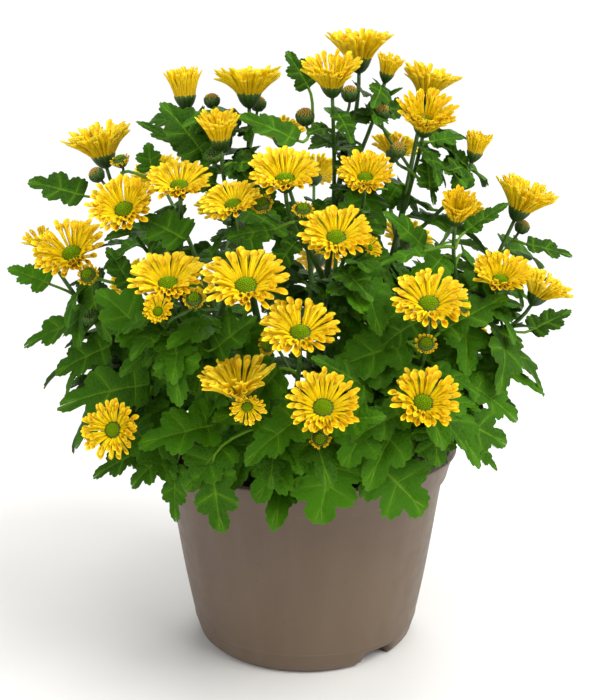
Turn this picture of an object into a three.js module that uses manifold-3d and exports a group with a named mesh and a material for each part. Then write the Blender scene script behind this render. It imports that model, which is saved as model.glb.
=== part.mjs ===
// Potted chrysanthemum: a yellow spoon-flowered pot mum in a round plastic nursery pot.
// Millimetres, +Z up. The pot stands on z = 0 and the plant's front faces -Y.
import * as THREE from "three";
import { mergeVertices } from "three/addons/utils/BufferGeometryUtils.js";
import Module from "manifold-3d";

const wasm = await Module();
wasm.setup();

// Pot
const POT_HEIGHT = 124;
const RIM_RADIUS = 95;
const RIM_LIP = 2.2; // height of the rolled edge on top of the rim band
const RIM_ROLL = 1.8; // how far it stands out
const RIM_WIDE = 3.6;
const BAND_HEIGHT = 17.5; // stiff band below the rim
const BAND_STEP = 2.2; // how far the band stands out from the wall
const WALL_TOP_RADIUS = 87;
const WALL_FOOT_RADIUS = 71.8; // at the parting line
const PARTING_HEIGHT = 13.9;
const FOOT_RADIUS = 65.4; // where the pot meets the table
const FOOT_ROUND = 3.5;
const WALL = 2.0;
const BASE_HEIGHT = 9; // underside of the base plate
const FOOT_RING = 3.2; // width of the ring that the pot stands on
const POT_SIDES = 24;
const NOTCH_ANGLE = 39; // middle of the foot notch, right of the front
const NOTCH_WIDTH = 26;
const NOTCH_HEIGHT = 8.4;
const NOTCH_SLOPE = 3;
const DRAIN_RADIUS = 5;
const DRAIN_RING = 36; // radius of the circle that the drain holes lie on
const DRAINS = 4;
const DRAIN_SIDES = 5;

// Soil
const SOIL_TOP = 110;
const SOIL_SIDES = 18;
const SOIL_WAVE = 1.6; // height of the soil's unevenness
const SOIL_MARGIN = 1; // between the soil and the sloping wall
const GAP = 0.3; // between pieces that touch

// Stems
const STEM_SINK = 24; // depth of a stem's hole in the soil
const STEM_RISE = 6; // height above the soil up to which a stem is straight
const STEM_FOOT_R = 2.9;
const STEM_FORK_R = 1.9;
const STEM_BEND = 0.3; // how far a stem keeps its first and last direction, over its length
const STEM_STEPS = 4;
const BRANCH_R = 1.4; // of a flower stalk where it starts
const STALK_R = 1.05; // and under its bloom
const STALK_BEND = 0.38;
const STALK_STEPS = 3;
const BRANCH_STEP = 0.3; // between one flower stalk and the next, over a stem's last step
const BUD_STALK_R = 1;
const BUD_NECK_R = 0.8;
const BUD_NECK = 0.45; // from a bud's middle down to its stalk, over its diameter
const BUD_STEPS = 2;
const BUD_DROP = 18; // how far below a bud its stalk looks for the stem
const ROOT_BELOW = 4; // a root lies rather this far below what it carries
const STALK_SIDES = 4;
const HEAD_SIDES = 6;
const BUD_SIDES = 5;

// Blooms, in shares of a bloom's radius
const RING_OUTER = 0.34;
const RING_INNER = 0.28;
const RING_THICK = 1.3; // mm
const CUP_WIDE = 0.3; // bract cup
const CUP_DEPTH = 0.26;
const DISC_WIDE = 0.23;
const DISC_DOME = 0.1;
const PETAL_WIDEST = 0.78; // along the petal
const PETAL_COVER = 0.8; // share of the circle that a layer of petals covers
const INNER_LIFT = 18; // degrees that the inner petals stand above the outer ones
const INNER_RISE_MOST = 82;
const PETAL_NARROWEST = 2.4; // mm, at the widest place
const INNER_LENGTH = 0.88;
const INNER_WIDTH = 0.8;

// Leaves
const LEAF_THICK = 1.5; // at the midrib, thinning to the edge
const PETIOLE_WIDTH = 2.0;
const ROOT_HALF = 0.6; // half the width of a petiole inside its stem
const PETIOLE_LENGTH = 0.2; // over blade length
const LEAF_FOLD = 14; // degrees that the halves rise from the midrib
const STEP_ANGLE = 137.5; // between one leaf and the next up a stem
// Volumes in mm3 that a leaf may share with a stalk or a petiole of its own stem, and with
// anything else.
const SHARED = { stalk: 14, leaf: 2, other: 1e-4 };

// The place from which the plant was measured: its front blooms and leaves are given by
// where they lie in a 600 x 700 picture taken from there, and by their depth y.
const EYE = { back: 629, height: 319, pitch: 12.2, focal: 1033, cu: 305.4, cv: 350 };

const UP = new THREE.Vector3(0, 0, 1);
const radians = (degrees) => (degrees * Math.PI) / 180;
const vec = (x, y, z) => new THREE.Vector3(x, y, z);

// The point at depth y that lies at picture place (u, v).
function seen(u, v, y) {
  const pitch = radians(EYE.pitch);
  const side = (u - EYE.cu) / EYE.focal;
  const rise = (EYE.cv - v) / EYE.focal;
  const t = (y + EYE.back) / (Math.cos(pitch) + rise * Math.sin(pitch));
  return vec(t * side, y, EYE.height + t * (rise * Math.cos(pitch) - Math.sin(pitch)));
}

// A direction: azimuth 0 looks to the front (-Y) and turns towards +X, elevation is up.
function facing(azimuth, elevation) {
  const a = radians(azimuth);
  const e = radians(elevation);
  return vec(Math.sin(a) * Math.cos(e), -Math.cos(a) * Math.cos(e), Math.sin(e));
}

// Two directions across an axis.
function across(axis) {
  const first = new THREE.Vector3().crossVectors(UP, axis);
  if (first.length() < 0.05) first.set(1, 0, 0);
  first.normalize();
  const second = new THREE.Vector3().crossVectors(axis, first).normalize();
  return [first, second];
}

// Blooms: picture place of the disc, depth, facing, diameter, rise of the petals, petals in
// each of its two layers.
const bloom = (place, face, diameter, rise, petals = 8) => ({
  place,
  axis: facing(...face),
  radius: diameter / 2,
  rise,
  petals,
});

const STEMS = [
  {
    name: "stem_top_middle", base: [4, 2], fork: [16, -14, 262],
    blooms: [
      bloom(seen(359, 58, -26), [-7, 80], 50, 48),
      bloom(seen(332, 84, -63), [-6, 65], 44, 50),
      bloom(seen(387, 73, -40), [37, 70], 28, 70, 7),
    ],
  },
  {
    name: "stem_top_right", base: [26, 6], fork: [52, -18, 246],
    blooms: [
      bloom(seen(427, 91, -18), [37, 73], 44, 48),
      bloom(seen(425, 125, -68), [6, 50], 44, 54),
      bloom(seen(475, 152, -56), [41, 70], 30, 74, 7),
    ],
  },
  {
    name: "stem_top_left", base: [-18, 4], fork: [-36, -22, 246],
    blooms: [
      bloom(seen(185, 96, -42), [-33, 82], 42, 75, 7),
      bloom(seen(249, 93, -52), [0, 84], 47, 46),
      bloom(seen(220, 138, -86), [-4, 70], 37, 64, 7),
    ],
  },
  {
    name: "stem_left_high", base: [-40, -2], fork: [-72, -24, 216],
    blooms: [
      bloom(seen(103, 154, -18), [-40, 74], 51, 48),
      bloom(seen(124, 210, -84), [-6, 42], 41, 32),
      bloom(seen(179, 186, -92), [0, 58], 37, 25),
    ],
  },
  {
    name: "stem_left_low", base: [-54, -18], fork: [-92, -34, 168],
    blooms: [
      bloom(seen(41, 244, -24), [-43, 58], 26, 58, 7),
      bloom(seen(72, 254, -54), [-12, 44], 46, 31),
      bloom(seen(113, 430, -112), [-16, 24], 34, 24),
    ],
  },
  {
    name: "stem_front_left", base: [-32, -34], fork: [-48, -62, 186],
    blooms: [
      bloom(seen(233, 205, -110), [-21, 56], 34, 25),
      bloom(seen(168, 284, -112), [-2, 59], 43, 30),
      bloom(seen(246, 286, -128), [0, 54], 46, 24),
      bloom(seen(158, 312, -131), [5, 32], 19, 48, 7),
    ],
  },
  {
    name: "stem_front_middle", base: [2, -24], fork: [12, -52, 214],
    blooms: [
      bloom(seen(285, 180, -106), [-2, 57], 42, 32),
      bloom(seen(365, 179, -106), [-2, 46], 33, 38),
      bloom(seen(336, 238, -122), [-2, 50], 39, 26),
      bloom(seen(369, 248, -96), [43, 30], 15, 42, 7),
    ],
  },
  {
    name: "stem_right_high", base: [46, -14], fork: [84, -30, 190],
    blooms: [
      bloom(seen(520, 208, -38), [56, 66], 47, 52),
      bloom(seen(457, 216, -92), [2, 52], 34, 64, 7),
      bloom(seen(500, 281, -90), [0, 56], 38, 40),
      bloom(seen(538, 294, -58), [69, 62], 42, 42),
    ],
  },
  {
    name: "stem_front_right", base: [34, -42], fork: [54, -70, 166],
    blooms: [
      bloom(seen(429, 304, -122), [-6, 53], 42, 23),
      bloom(seen(423, 403, -128), [8, 44], 41, 32),
    ],
  },
  {
    name: "stem_front_low", base: [-4, -56], fork: [-6, -82, 152],
    blooms: [
      bloom(seen(300, 333, -134), [0, 56], 42, 24),
      bloom(seen(323, 408, -140), [0, 45], 41, 27),
      bloom(seen(239, 391, -130), [-25, 74], 46, 42),
      bloom(seen(247, 406, -142), [6, -16], 21, 38, 7),
    ],
  },
  {
    name: "stem_back_left", base: [-34, 26], fork: [-60, 50, 196],
    blooms: [
      bloom(vec(-98, 68, 286), [-125, 55], 40, 32),
      bloom(vec(-58, 106, 262), [-155, 45], 42, 30),
      bloom(vec(-118, 84, 212), [-130, 35], 40, 28, 7),
      bloom(vec(-66, 130, 196), [-160, 25], 38, 26, 7),
    ],
  },
  {
    name: "stem_back_middle", base: [2, 40], fork: [4, 66, 214],
    blooms: [
      bloom(vec(-16, 66, 312), [-170, 70], 40, 34),
      bloom(vec(6, 116, 284), [180, 48], 42, 30),
      bloom(vec(10, 140, 222), [175, 30], 40, 28),
      bloom(vec(-14, 136, 168), [-175, 22], 36, 24, 7),
    ],
  },
  {
    name: "stem_back_right", base: [38, 24], fork: [62, 46, 196],
    blooms: [
      bloom(vec(58, 62, 302), [150, 62], 38, 34),
      bloom(vec(104, 62, 262), [120, 50], 40, 30),
      bloom(vec(72, 112, 238), [150, 40], 42, 28),
      bloom(vec(112, 92, 184), [132, 28], 38, 26, 7),
    ],
  },
];

// Unopened and half-open buds: stem, place, facing, diameter.
const BUDS = [
  ["stem_front_middle", seen(262, 204, -104), [-10, 45], 10],
  ["stem_front_middle", seen(303, 209, -112), [0, 50], 9],
  ["stem_left_low", seen(88, 275, -74), [-10, 30], 10],
  ["stem_front_left", seen(194, 299, -126), [0, 45], 9.5],
  ["stem_front_right", seen(426, 344, -122), [0, 40], 9.5],
  ["stem_front_low", seen(320, 438, -134), [0, 5], 9],
  ["stem_left_high", seen(120, 160, -30), [-30, 60], 9.5],
  ["stem_left_high", seen(97, 175, -28), [-60, 50], 9],
  ["stem_left_low", seen(92, 317, -66), [-20, 50], 8],
  ["stem_top_left", seen(212, 101, -46), [0, 75], 8.5],
  ["stem_top_left", seen(258, 104, -34), [30, 75], 9],
  ["stem_top_middle", seen(350, 94, -44), [0, 70], 9.5],
  ["stem_top_middle", seen(305, 117, -54), [-10, 60], 10],
  ["stem_top_right", seen(382, 113, -44), [0, 65], 9.5],
  ["stem_top_right", seen(398, 150, -78), [10, 50], 8.5],
  ["stem_top_left", seen(214, 156, -84), [0, 50], 8],
  ["stem_right_high", seen(522, 227, -30), [60, 60], 8.5],
  ["stem_front_low", seen(268, 344, -112), [-40, 20], 10],
  ["stem_front_right", seen(463, 305, -108), [50, 20], 10],
];

// Leaves that shape the plant's outline and front: stem, blade base and tip in the picture
// with their depths, blade width, the way the upper side faces, and droop.
const leaf = (stem, base, tip, width, face, droop) => ({
  stem, base: seen(...base), tip: seen(...tip), width, face: facing(...face), droop,
});
const backLeaf = (stem, base, tip, width, droop) => ({
  stem, base: vec(...base), tip: vec(...tip), width, face: UP, droop,
});

const LEAVES = [
  leaf("stem_left_high", [84, 196, -26], [29, 182, -22], 24, [-10, 45], 12),
  leaf("stem_left_low", [50, 284, -34], [9, 268, -28], 18, [-10, 45], 10),
  leaf("stem_left_low", [88, 318, -44], [25, 346, -40], 24, [-15, 50], 18),
  leaf("stem_left_low", [110, 346, -60], [57, 373, -62], 26, [-12, 45], 20),
  leaf("stem_left_low", [150, 384, -84], [60, 406, -84], 36, [-10, 50], 22),
  leaf("stem_left_low", [146, 449, -92], [94, 477, -92], 20, [-20, 45], 20),
  leaf("stem_left_low", [165, 455, -96], [132, 486, -98], 22, [-20, 40], 24),
  leaf("stem_front_low", [220, 424, -112], [140, 446, -118], 34, [-10, 50], 24),
  leaf("stem_front_low", [228, 441, -114], [186, 490, -120], 30, [-14, 40], 26),
  leaf("stem_front_low", [212, 464, -120], [222, 531, -124], 27, [-16, 25], 20),
  leaf("stem_front_left", [176, 462, -98], [176, 521, -100], 18, [-25, 25], 18),
  leaf("stem_front_low", [292, 446, -112], [256, 500, -118], 30, [-6, 35], 26),
  leaf("stem_front_low", [332, 456, -116], [318, 523, -122], 40, [0, 25], 24),
  leaf("stem_front_right", [372, 414, -124], [344, 466, -134], 32, [6, 35], 24),
  leaf("stem_front_right", [374, 462, -112], [424, 512, -112], 44, [14, 28], 26),
  leaf("stem_front_right", [432, 424, -112], [438, 466, -116], 26, [12, 30], 20),
  leaf("stem_front_right", [455, 419, -98], [505, 444, -96], 28, [16, 40], 22),
  leaf("stem_right_high", [470, 384, -84], [516, 420, -80], 24, [16, 45], 18),
  leaf("stem_right_high", [486, 358, -64], [544, 394, -60], 13, [10, 55], 12),
  leaf("stem_front_right", [470, 441, -86], [497, 470, -84], 10, [20, 40], 14),
  leaf("stem_right_high", [530, 331, -36], [571, 311, -30], 17, [10, 50], 8),
  leaf("stem_right_high", [526, 244, -34], [571, 256, -28], 14, [10, 45], 10),
  leaf("stem_right_high", [466, 231, -58], [508, 204, -52], 13, [-10, 50], 12),
  leaf("stem_right_high", [424, 247, -84], [384, 212, -92], 16, [-5, 45], 10),
  leaf("stem_right_high", [424, 251, -96], [381, 264, -108], 9, [0, 50], 12),
  leaf("stem_front_right", [392, 330, -104], [350, 268, -104], 26, [0, 45], 16),
  leaf("stem_front_right", [440, 332, -104], [506, 297, -96], 24, [4, 50], 16),
  leaf("stem_top_right", [464, 190, -54], [447, 136, -54], 16, [0, 40], 14),
  leaf("stem_top_right", [430, 188, -72], [426, 153, -66], 15, [0, 40], 14),
  leaf("stem_top_right", [366, 112, -34], [414, 80, -38], 13, [-10, 55], 10),
  leaf("stem_top_left", [206, 156, -62], [162, 103, -54], 26, [-5, 40], 14),
  leaf("stem_top_left", [192, 152, -44], [138, 122, -34], 12, [-5, 55], 10),
  leaf("stem_top_middle", [309, 88, -46], [287, 52, -46], 17, [-10, 40], 12),
  leaf("stem_top_middle", [298, 141, -76], [239, 116, -72], 20, [0, 50], 14),
  leaf("stem_front_middle", [272, 230, -104], [228, 238, -112], 12, [0, 50], 16),
  leaf("stem_left_high", [186, 240, -94], [142, 218, -84], 26, [-4, 45], 16),
  leaf("stem_left_high", [152, 172, -48], [148, 143, -44], 17, [-8, 40], 12),
  leaf("stem_front_left", [150, 337, -98], [98, 290, -80], 30, [-8, 45], 16),
  leaf("stem_left_low", [132, 286, -70], [107, 248, -62], 16, [-8, 40], 12),
  leaf("stem_front_left", [214, 350, -112], [256, 318, -116], 22, [0, 45], 16),
  leaf("stem_front_low", [372, 392, -112], [313, 358, -122], 20, [0, 50], 16),
  backLeaf("stem_back_right", [126, 46, 226], [172, 50, 214], 30, 24),
  backLeaf("stem_back_right", [112, 78, 160], [140, 104, 134], 30, 34),
  backLeaf("stem_back_left", [-112, 78, 160], [-142, 104, 136], 30, 34),
];

// Leaves by rule on each stem: how many, between which shares of its length, and in degrees
// and millimetres how each one lies.
const RULE = {
  front: 2, back: 6, first: 0.22, last: 0.8, spread: 200, stemTurn: 50, climb: 24, petiole: 13,
  length: 60, shrink: 0.35, width: 0.66, falls: [-12, -30, -46], droop: 46,
};

// Lobed outline of half a blade, from the petiole to the tip: along the midrib, and out as a
// share of half the width; then the place on the midrib that each point fans out from.
const HALF_OUTLINE = [
  [0.12, 0.42, 1],
  [0.38, 0.86, 1],
  [0.46, 0.4, 2],
  [0.74, 1.0, 2],
  [0.8, 0.46, 3],
  [0.95, 0.4, 3],
];
const MIDRIB = [0, 0.24, 0.5, 0.78];

// Ways to bend a leaf clear of its neighbours, in the order tried: lift and swing about its
// base in degrees, and scale.
const BENDS = [
  [0, 0, 1], [8, 0, 1], [-8, 0, 1], [0, 10, 1], [0, -10, 1], [15, 0, 1], [-15, 0, 1],
  [8, 12, 0.95], [8, -12, 0.95], [-8, 12, 0.95], [-8, -12, 0.95], [0, 20, 0.9], [0, -20, 0.9],
  [24, 0, 0.9], [-24, 0, 0.9], [15, 22, 0.85], [15, -22, 0.85], [-15, 22, 0.85], [-15, -22, 0.85],
  [0, 0, 0.7], [30, 0, 0.7], [-30, 0, 0.7], [0, 30, 0.7], [0, -30, 0.7], [20, 35, 0.6],
  [20, -35, 0.6],
];

// A solid from points and triangles, turned so that its faces point out.
function solid(points, faces) {
  let volume = 0;
  for (const [a, b, c] of faces) {
    volume += points[a].dot(new THREE.Vector3().crossVectors(points[b], points[c]));
  }
  const vertProperties = new Float32Array(points.flatMap((p) => [p.x, p.y, p.z]));
  const order = volume < 0 ? (f) => [f[0], f[2], f[1]] : (f) => f;
  const triVerts = new Uint32Array(faces.flatMap(order));
  return new wasm.Manifold(new wasm.Mesh({ numProp: 3, vertProperties, triVerts }));
}

// A three.js geometry as a solid.
function solidOf(geometry) {
  const bare = geometry.clone();
  bare.deleteAttribute("normal");
  bare.deleteAttribute("uv");
  const merged = mergeVertices(bare, 1e-4);
  const at = merged.attributes.position;
  const points = [];
  for (let i = 0; i < at.count; i++) points.push(new THREE.Vector3().fromBufferAttribute(at, i));
  const faces = [];
  for (let i = 0; i < merged.index.count; i += 3) {
    const [a, b, c] = [0, 1, 2].map((k) => merged.index.getX(i + k));
    if (a !== b && b !== c && c !== a) faces.push([a, b, c]);
  }
  return solid(points, faces);
}

function geometryOf(body) {
  const mesh = body.getMesh();
  const flat = new Float32Array(mesh.numVert * 3);
  for (let i = 0; i < mesh.numVert; i++) {
    for (let k = 0; k < 3; k++) flat[3 * i + k] = mesh.vertProperties[i * mesh.numProp + k];
  }
  const geometry = new THREE.BufferGeometry();
  geometry.setAttribute("position", new THREE.BufferAttribute(flat, 3));
  geometry.setIndex(Array.from(mesh.triVerts));
  return geometry;
}

// Bodies joined into one, with what the join seals off filled and loose scraps dropped.
function join(parts) {
  const bodies = parts.reduce((all, one) => all.add(one)).decompose();
  return bodies.reduce((most, one) => (one.volume() > most.volume() ? one : most));
}

// A turned body along an axis from a profile of [radius, height] that starts and ends on it.
function turned(profile, sides, place, axis) {
  const [first, second] = across(axis);
  const shape = profile.map(([r, h]) => new THREE.Vector2(r, h));
  const lathe = new THREE.LatheGeometry(shape, sides);
  // LatheGeometry turns about Y, so its Y becomes the axis.
  lathe.applyMatrix4(new THREE.Matrix4().makeBasis(first, axis, second.negate()));
  lathe.translate(place.x, place.y, place.z);
  return solidOf(lathe);
}

// A stalk along a list of points, with a radius and a number of sides at each; a last radius
// of 0 is a point.
function stalk(path, radii, sides) {
  const points = [];
  const faces = [];
  const pointed = radii[path.length - 1] === 0;
  const rings = [];
  let side = null;
  path.forEach((at, i) => {
    if (radii[i] === 0) return;
    const ahead = path[Math.min(i + 1, path.length - 1)];
    const behind = path[Math.max(i - 1, 0)];
    const along = new THREE.Vector3().subVectors(ahead, behind).normalize();
    side = side ? side.addScaledVector(along, -side.dot(along)).normalize() : across(along)[0];
    const other = new THREE.Vector3().crossVectors(along, side);
    const ring = [];
    for (let k = 0; k < sides[i]; k++) {
      const turn = (2 * Math.PI * k) / sides[i];
      ring.push(points.push(at.clone()
        .addScaledVector(side, radii[i] * Math.cos(turn))
        .addScaledVector(other, radii[i] * Math.sin(turn))) - 1);
    }
    rings.push(ring);
  });
  for (let i = 0; i + 1 < rings.length; i++) faces.push(...bridge(rings[i], rings[i + 1]));
  const [first, last] = [rings[0], rings[rings.length - 1]];
  for (let k = 1; k + 1 < first.length; k++) faces.push([first[0], first[k + 1], first[k]]);
  if (pointed) {
    const apex = points.push(path[path.length - 1].clone()) - 1;
    last.forEach((at, k) => faces.push([at, last[(k + 1) % last.length], apex]));
  } else {
    for (let k = 1; k + 1 < last.length; k++) faces.push([last[0], last[k], last[k + 1]]);
  }
  return solid(points, faces);
}

// The faces between two rings, which may have different numbers of points.
function bridge(low, high) {
  const faces = [];
  const [m, n] = [low.length, high.length];
  let [i, j] = [0, 0];
  while (i < m || j < n) {
    if (j === n || (i < m && (i + 1) / m <= (j + 1) / n)) {
      faces.push([low[i % m], low[(i + 1) % m], high[j % n]]);
      i += 1;
    } else {
      faces.push([low[i % m], high[(j + 1) % n], high[j % n]]);
      j += 1;
    }
  }
  return faces;
}

// Points on a cubic curve that leaves `from` along `start` and reaches `to` along `end`.
function curve(from, start, to, end, reach, steps) {
  const bend = new THREE.CubicBezierCurve3(
    from,
    from.clone().addScaledVector(start, reach),
    to.clone().addScaledVector(end, -reach),
    to,
  );
  return bend.getPoints(steps);
}

// The yellow part of a bloom: a ring round the neck, and two layers of petals that grow out
// of its outer side and its top. A petal widens to a rounded end and thins to its edge.
function petals(b) {
  const [first, second] = across(b.axis);
  const count = b.petals;
  const pitch = (2 * Math.PI) / count;
  const outer = RING_OUTER * b.radius;
  const inner = RING_INNER * b.radius;
  const points = [];
  const faces = [];
  const put = (turn, out, up, aside = 0) => {
    points.push(b.place.clone()
      .addScaledVector(first, out * Math.cos(turn) - aside * Math.sin(turn))
      .addScaledVector(second, out * Math.sin(turn) + aside * Math.cos(turn))
      .addScaledVector(b.axis, up));
    return points.length - 1;
  };
  const low = [];
  const edge = [];
  const top = [];
  for (let i = 0; i < count; i++) {
    low.push(put(i * pitch, outer, -RING_THICK));
    edge.push(put(i * pitch, outer, 0));
    top.push(put(i * pitch, inner, RING_THICK));
  }
  const grow = (under, over, i, turn, rise, length, width) => {
    const j = (i + 1) % count;
    const climb = radians(rise);
    const reach = (share) => outer + (length - outer) * share * Math.cos(climb);
    const lift = (share) => (length - outer) * share * Math.sin(climb);
    const left = put(turn, reach(PETAL_WIDEST), lift(PETAL_WIDEST), -width / 2);
    const right = put(turn, reach(PETAL_WIDEST), lift(PETAL_WIDEST), width / 2);
    const tip = put(turn, reach(1), lift(1));
    faces.push(
      [over[i], over[j], tip], [over[i], tip, left], [over[j], right, tip],
      [under[j], under[i], tip], [under[i], left, tip], [under[j], tip, right],
      [under[i], over[i], left], [over[j], under[j], right],
    );
  };
  const around = 2 * Math.PI * PETAL_WIDEST * b.radius * Math.cos(radians(b.rise));
  const width = Math.max((PETAL_COVER * around) / count, PETAL_NARROWEST);
  for (let i = 0; i < count; i++) {
    const middle = (i + 0.5) * pitch;
    const innerRise = Math.min(b.rise + INNER_LIFT, INNER_RISE_MOST);
    grow(low, edge, i, middle, b.rise, b.radius, width);
    grow(edge, top, i, middle + pitch / 2, innerRise, b.radius * INNER_LENGTH, width * INNER_WIDTH);
    const j = (i + 1) % count;
    faces.push([low[i], top[j], top[i]], [low[i], low[j], top[j]]);
  }
  return solid(points, faces);
}

// The green part of a bloom above its stalk, as [distance along the axis, radius]: bract cup,
// neck through the petal ring, and domed disc.
const receptacle = (r) => [
  [-RING_THICK - GAP, CUP_WIDE * r],
  [RING_THICK, DISC_WIDE * r],
  [RING_THICK + DISC_DOME * r, 0],
];

// A bud, given like a receptacle: widest at its middle, and nearly flat on top.
const budShape = (r) => [[0, r], [0.8 * r, 0.62 * r], [0.95 * r, 0]];

// A stalk along a line that ends in a head turned about an axis.
function headed(line, radii, place, axis, head, headSides) {
  const path = [...line, ...head.map(([h]) => place.clone().addScaledVector(axis, h))];
  const sides = path.map((_, i) => (i < line.length ? STALK_SIDES : headSides));
  return stalk(path, [...radii, ...head.map(([, r]) => r)], sides);
}

// How a leaf lies: from its blade base along a circular arc that droops away from its upper
// side. `lift` and `swing` turn it about its base and `scale` shortens it.
function leafPose(l, lift, swing, scale) {
  const chord = new THREE.Vector3().subVectors(l.tip, l.base);
  const length = chord.length() * scale;
  chord.normalize();
  const face = l.face.clone().addScaledVector(chord, -l.face.dot(chord)).normalize();
  chord.applyAxisAngle(face, radians(swing));
  const side = new THREE.Vector3().crossVectors(chord, face);
  chord.applyAxisAngle(side, radians(lift));
  face.applyAxisAngle(side, radians(lift));
  const half = radians(l.droop) / 2;
  const start = chord.clone().applyAxisAngle(side, half);
  const normal = face.clone().applyAxisAngle(side, half);
  const arc = (length * half) / Math.sin(half);
  return { base: l.base, start, normal, side, arc, droop: 2 * half, width: l.width * scale };
}

// The point of a posed leaf at `along` the midrib and `out` to one side, raised by `up`.
function leafPoint(pose, along, out, up) {
  const turn = pose.droop * along;
  const radius = pose.arc / pose.droop;
  const fold = radians(LEAF_FOLD);
  const normal = pose.start.clone().multiplyScalar(Math.sin(turn))
    .addScaledVector(pose.normal, Math.cos(turn));
  return pose.base.clone()
    .addScaledVector(pose.start, radius * Math.sin(turn))
    .addScaledVector(pose.normal, -radius * (1 - Math.cos(turn)))
    .addScaledVector(pose.side, out * Math.cos(fold))
    .addScaledVector(normal, Math.abs(out) * Math.sin(fold) + up);
}

// A leaf solid: a petiole from its root on the stem, and a lobed blade that is thickest at
// the midrib and closes at its edge.
function leafSolid(pose, root, extra) {
  const points = [];
  const faces = [];
  const put = (p) => points.push(p) - 1;
  const thick = LEAF_THICK / 2 + extra;
  const stalkHalf = PETIOLE_WIDTH / 2 + extra;
  const back = new THREE.Vector3().subVectors(root, pose.base).normalize();
  const rootSide = pose.side.clone().addScaledVector(back, -pose.side.dot(back)).normalize();
  const rootUp = new THREE.Vector3().crossVectors(rootSide, back).normalize();
  if (rootUp.dot(pose.normal) < 0) rootUp.negate();
  const rootRing = [ROOT_HALF, -ROOT_HALF].flatMap((far) => [rootSide, rootUp]
    .map((way) => put(root.clone().addScaledVector(way, far))));
  const upper = MIDRIB.map((s) => put(leafPoint(pose, s, 0, thick)));
  const lower = MIDRIB.map((s) => put(leafPoint(pose, s, 0, -thick)));
  const tip = put(leafPoint(pose, 1, 0, 0));
  const half = pose.width / 2;
  const edges = [1, -1].map((hand) => {
    const edge = [put(leafPoint(pose, 0, hand * stalkHalf, 0))];
    for (const [along, out] of HALF_OUTLINE) {
      edge.push(put(leafPoint(pose, along, hand * (out * half + extra), 0)));
    }
    edge.push(tip);
    return edge;
  });
  edges.forEach((edge, hand) => {
    [upper, lower].forEach((rib, under) => {
      const flip = hand !== under;
      const add = (a, b, c) => faces.push(flip ? [a, c, b] : [a, b, c]);
      let at = 0;
      for (let i = 0; i + 1 < edge.length; i++) {
        const next = i < HALF_OUTLINE.length ? HALF_OUTLINE[i][2] : MIDRIB.length - 1;
        while (at < next) {
          add(rib[at], edge[i], rib[at + 1]);
          at += 1;
        }
        add(rib[at], edge[i], edge[i + 1]);
      }
    });
  });
  const blade = [edges[0][0], upper[0], edges[1][0], lower[0]];
  for (let k = 0; k < 4; k++) {
    const n = (k + 1) % 4;
    faces.push([rootRing[n], rootRing[k], blade[n]], [blade[n], rootRing[k], blade[k]]);
  }
  faces.push([rootRing[0], rootRing[1], rootRing[2]], [rootRing[0], rootRing[2], rootRing[3]]);
  return solid(points, faces);
}

function notch(angle) {
  const half = NOTCH_WIDTH / 2;
  const shape = new THREE.Shape([
    new THREE.Vector2(-half, -1),
    new THREE.Vector2(half, -1),
    new THREE.Vector2(half, 0),
    new THREE.Vector2(half - NOTCH_SLOPE, NOTCH_HEIGHT),
    new THREE.Vector2(-half + NOTCH_SLOPE, NOTCH_HEIGHT),
    new THREE.Vector2(-half, 0),
  ]);
  const cut = new THREE.ExtrudeGeometry(shape, { depth: 3 * FOOT_RING, bevelEnabled: false });
  cut.translate(0, 0, FOOT_RADIUS - 2 * FOOT_RING);
  // The extrusion runs along Z: lay it flat, pointing to the front, then turn it.
  cut.rotateX(Math.PI / 2);
  cut.rotateZ(radians(angle));
  return solidOf(cut);
}

function drain(i) {
  const turn = (2 * Math.PI * (i + 0.5)) / DRAINS;
  const path = [BASE_HEIGHT - WALL, BASE_HEIGHT + 2 * WALL]
    .map((z) => vec(DRAIN_RING * Math.cos(turn), DRAIN_RING * Math.sin(turn), z));
  return stalk(path, [DRAIN_RADIUS, DRAIN_RADIUS], [DRAIN_SIDES, DRAIN_SIDES]);
}

// A thin tapered wall with a stiff band and a rolled lip at the top, and a base plate that
// stands clear of the table on a foot ring. Two notches in the ring let water out.
function potBody() {
  const band = POT_HEIGHT - BAND_HEIGHT;
  const profile = [
    [0, BASE_HEIGHT],
    [FOOT_RADIUS - FOOT_RING, BASE_HEIGHT],
    [FOOT_RADIUS - FOOT_RING, 0],
    [FOOT_RADIUS, 0],
    [FOOT_RADIUS + FOOT_ROUND, FOOT_ROUND],
    [WALL_FOOT_RADIUS, PARTING_HEIGHT],
    [WALL_TOP_RADIUS, band],
    [WALL_TOP_RADIUS + BAND_STEP, band],
    [RIM_RADIUS - RIM_ROLL, POT_HEIGHT - RIM_LIP],
    [RIM_RADIUS, POT_HEIGHT - RIM_LIP],
    [RIM_RADIUS, POT_HEIGHT],
    [RIM_RADIUS - RIM_WIDE, POT_HEIGHT],
    [WALL_TOP_RADIUS - WALL, band],
    [WALL_FOOT_RADIUS - WALL, BASE_HEIGHT + WALL],
    [0, BASE_HEIGHT + WALL],
  ];
  let pot = turned(profile, POT_SIDES, vec(0, 0, 0), UP);
  for (const angle of [NOTCH_ANGLE, NOTCH_ANGLE + 180]) pot = pot.subtract(notch(angle));
  for (let i = 0; i < DRAINS; i++) pot = pot.subtract(drain(i));
  return pot;
}

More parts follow.
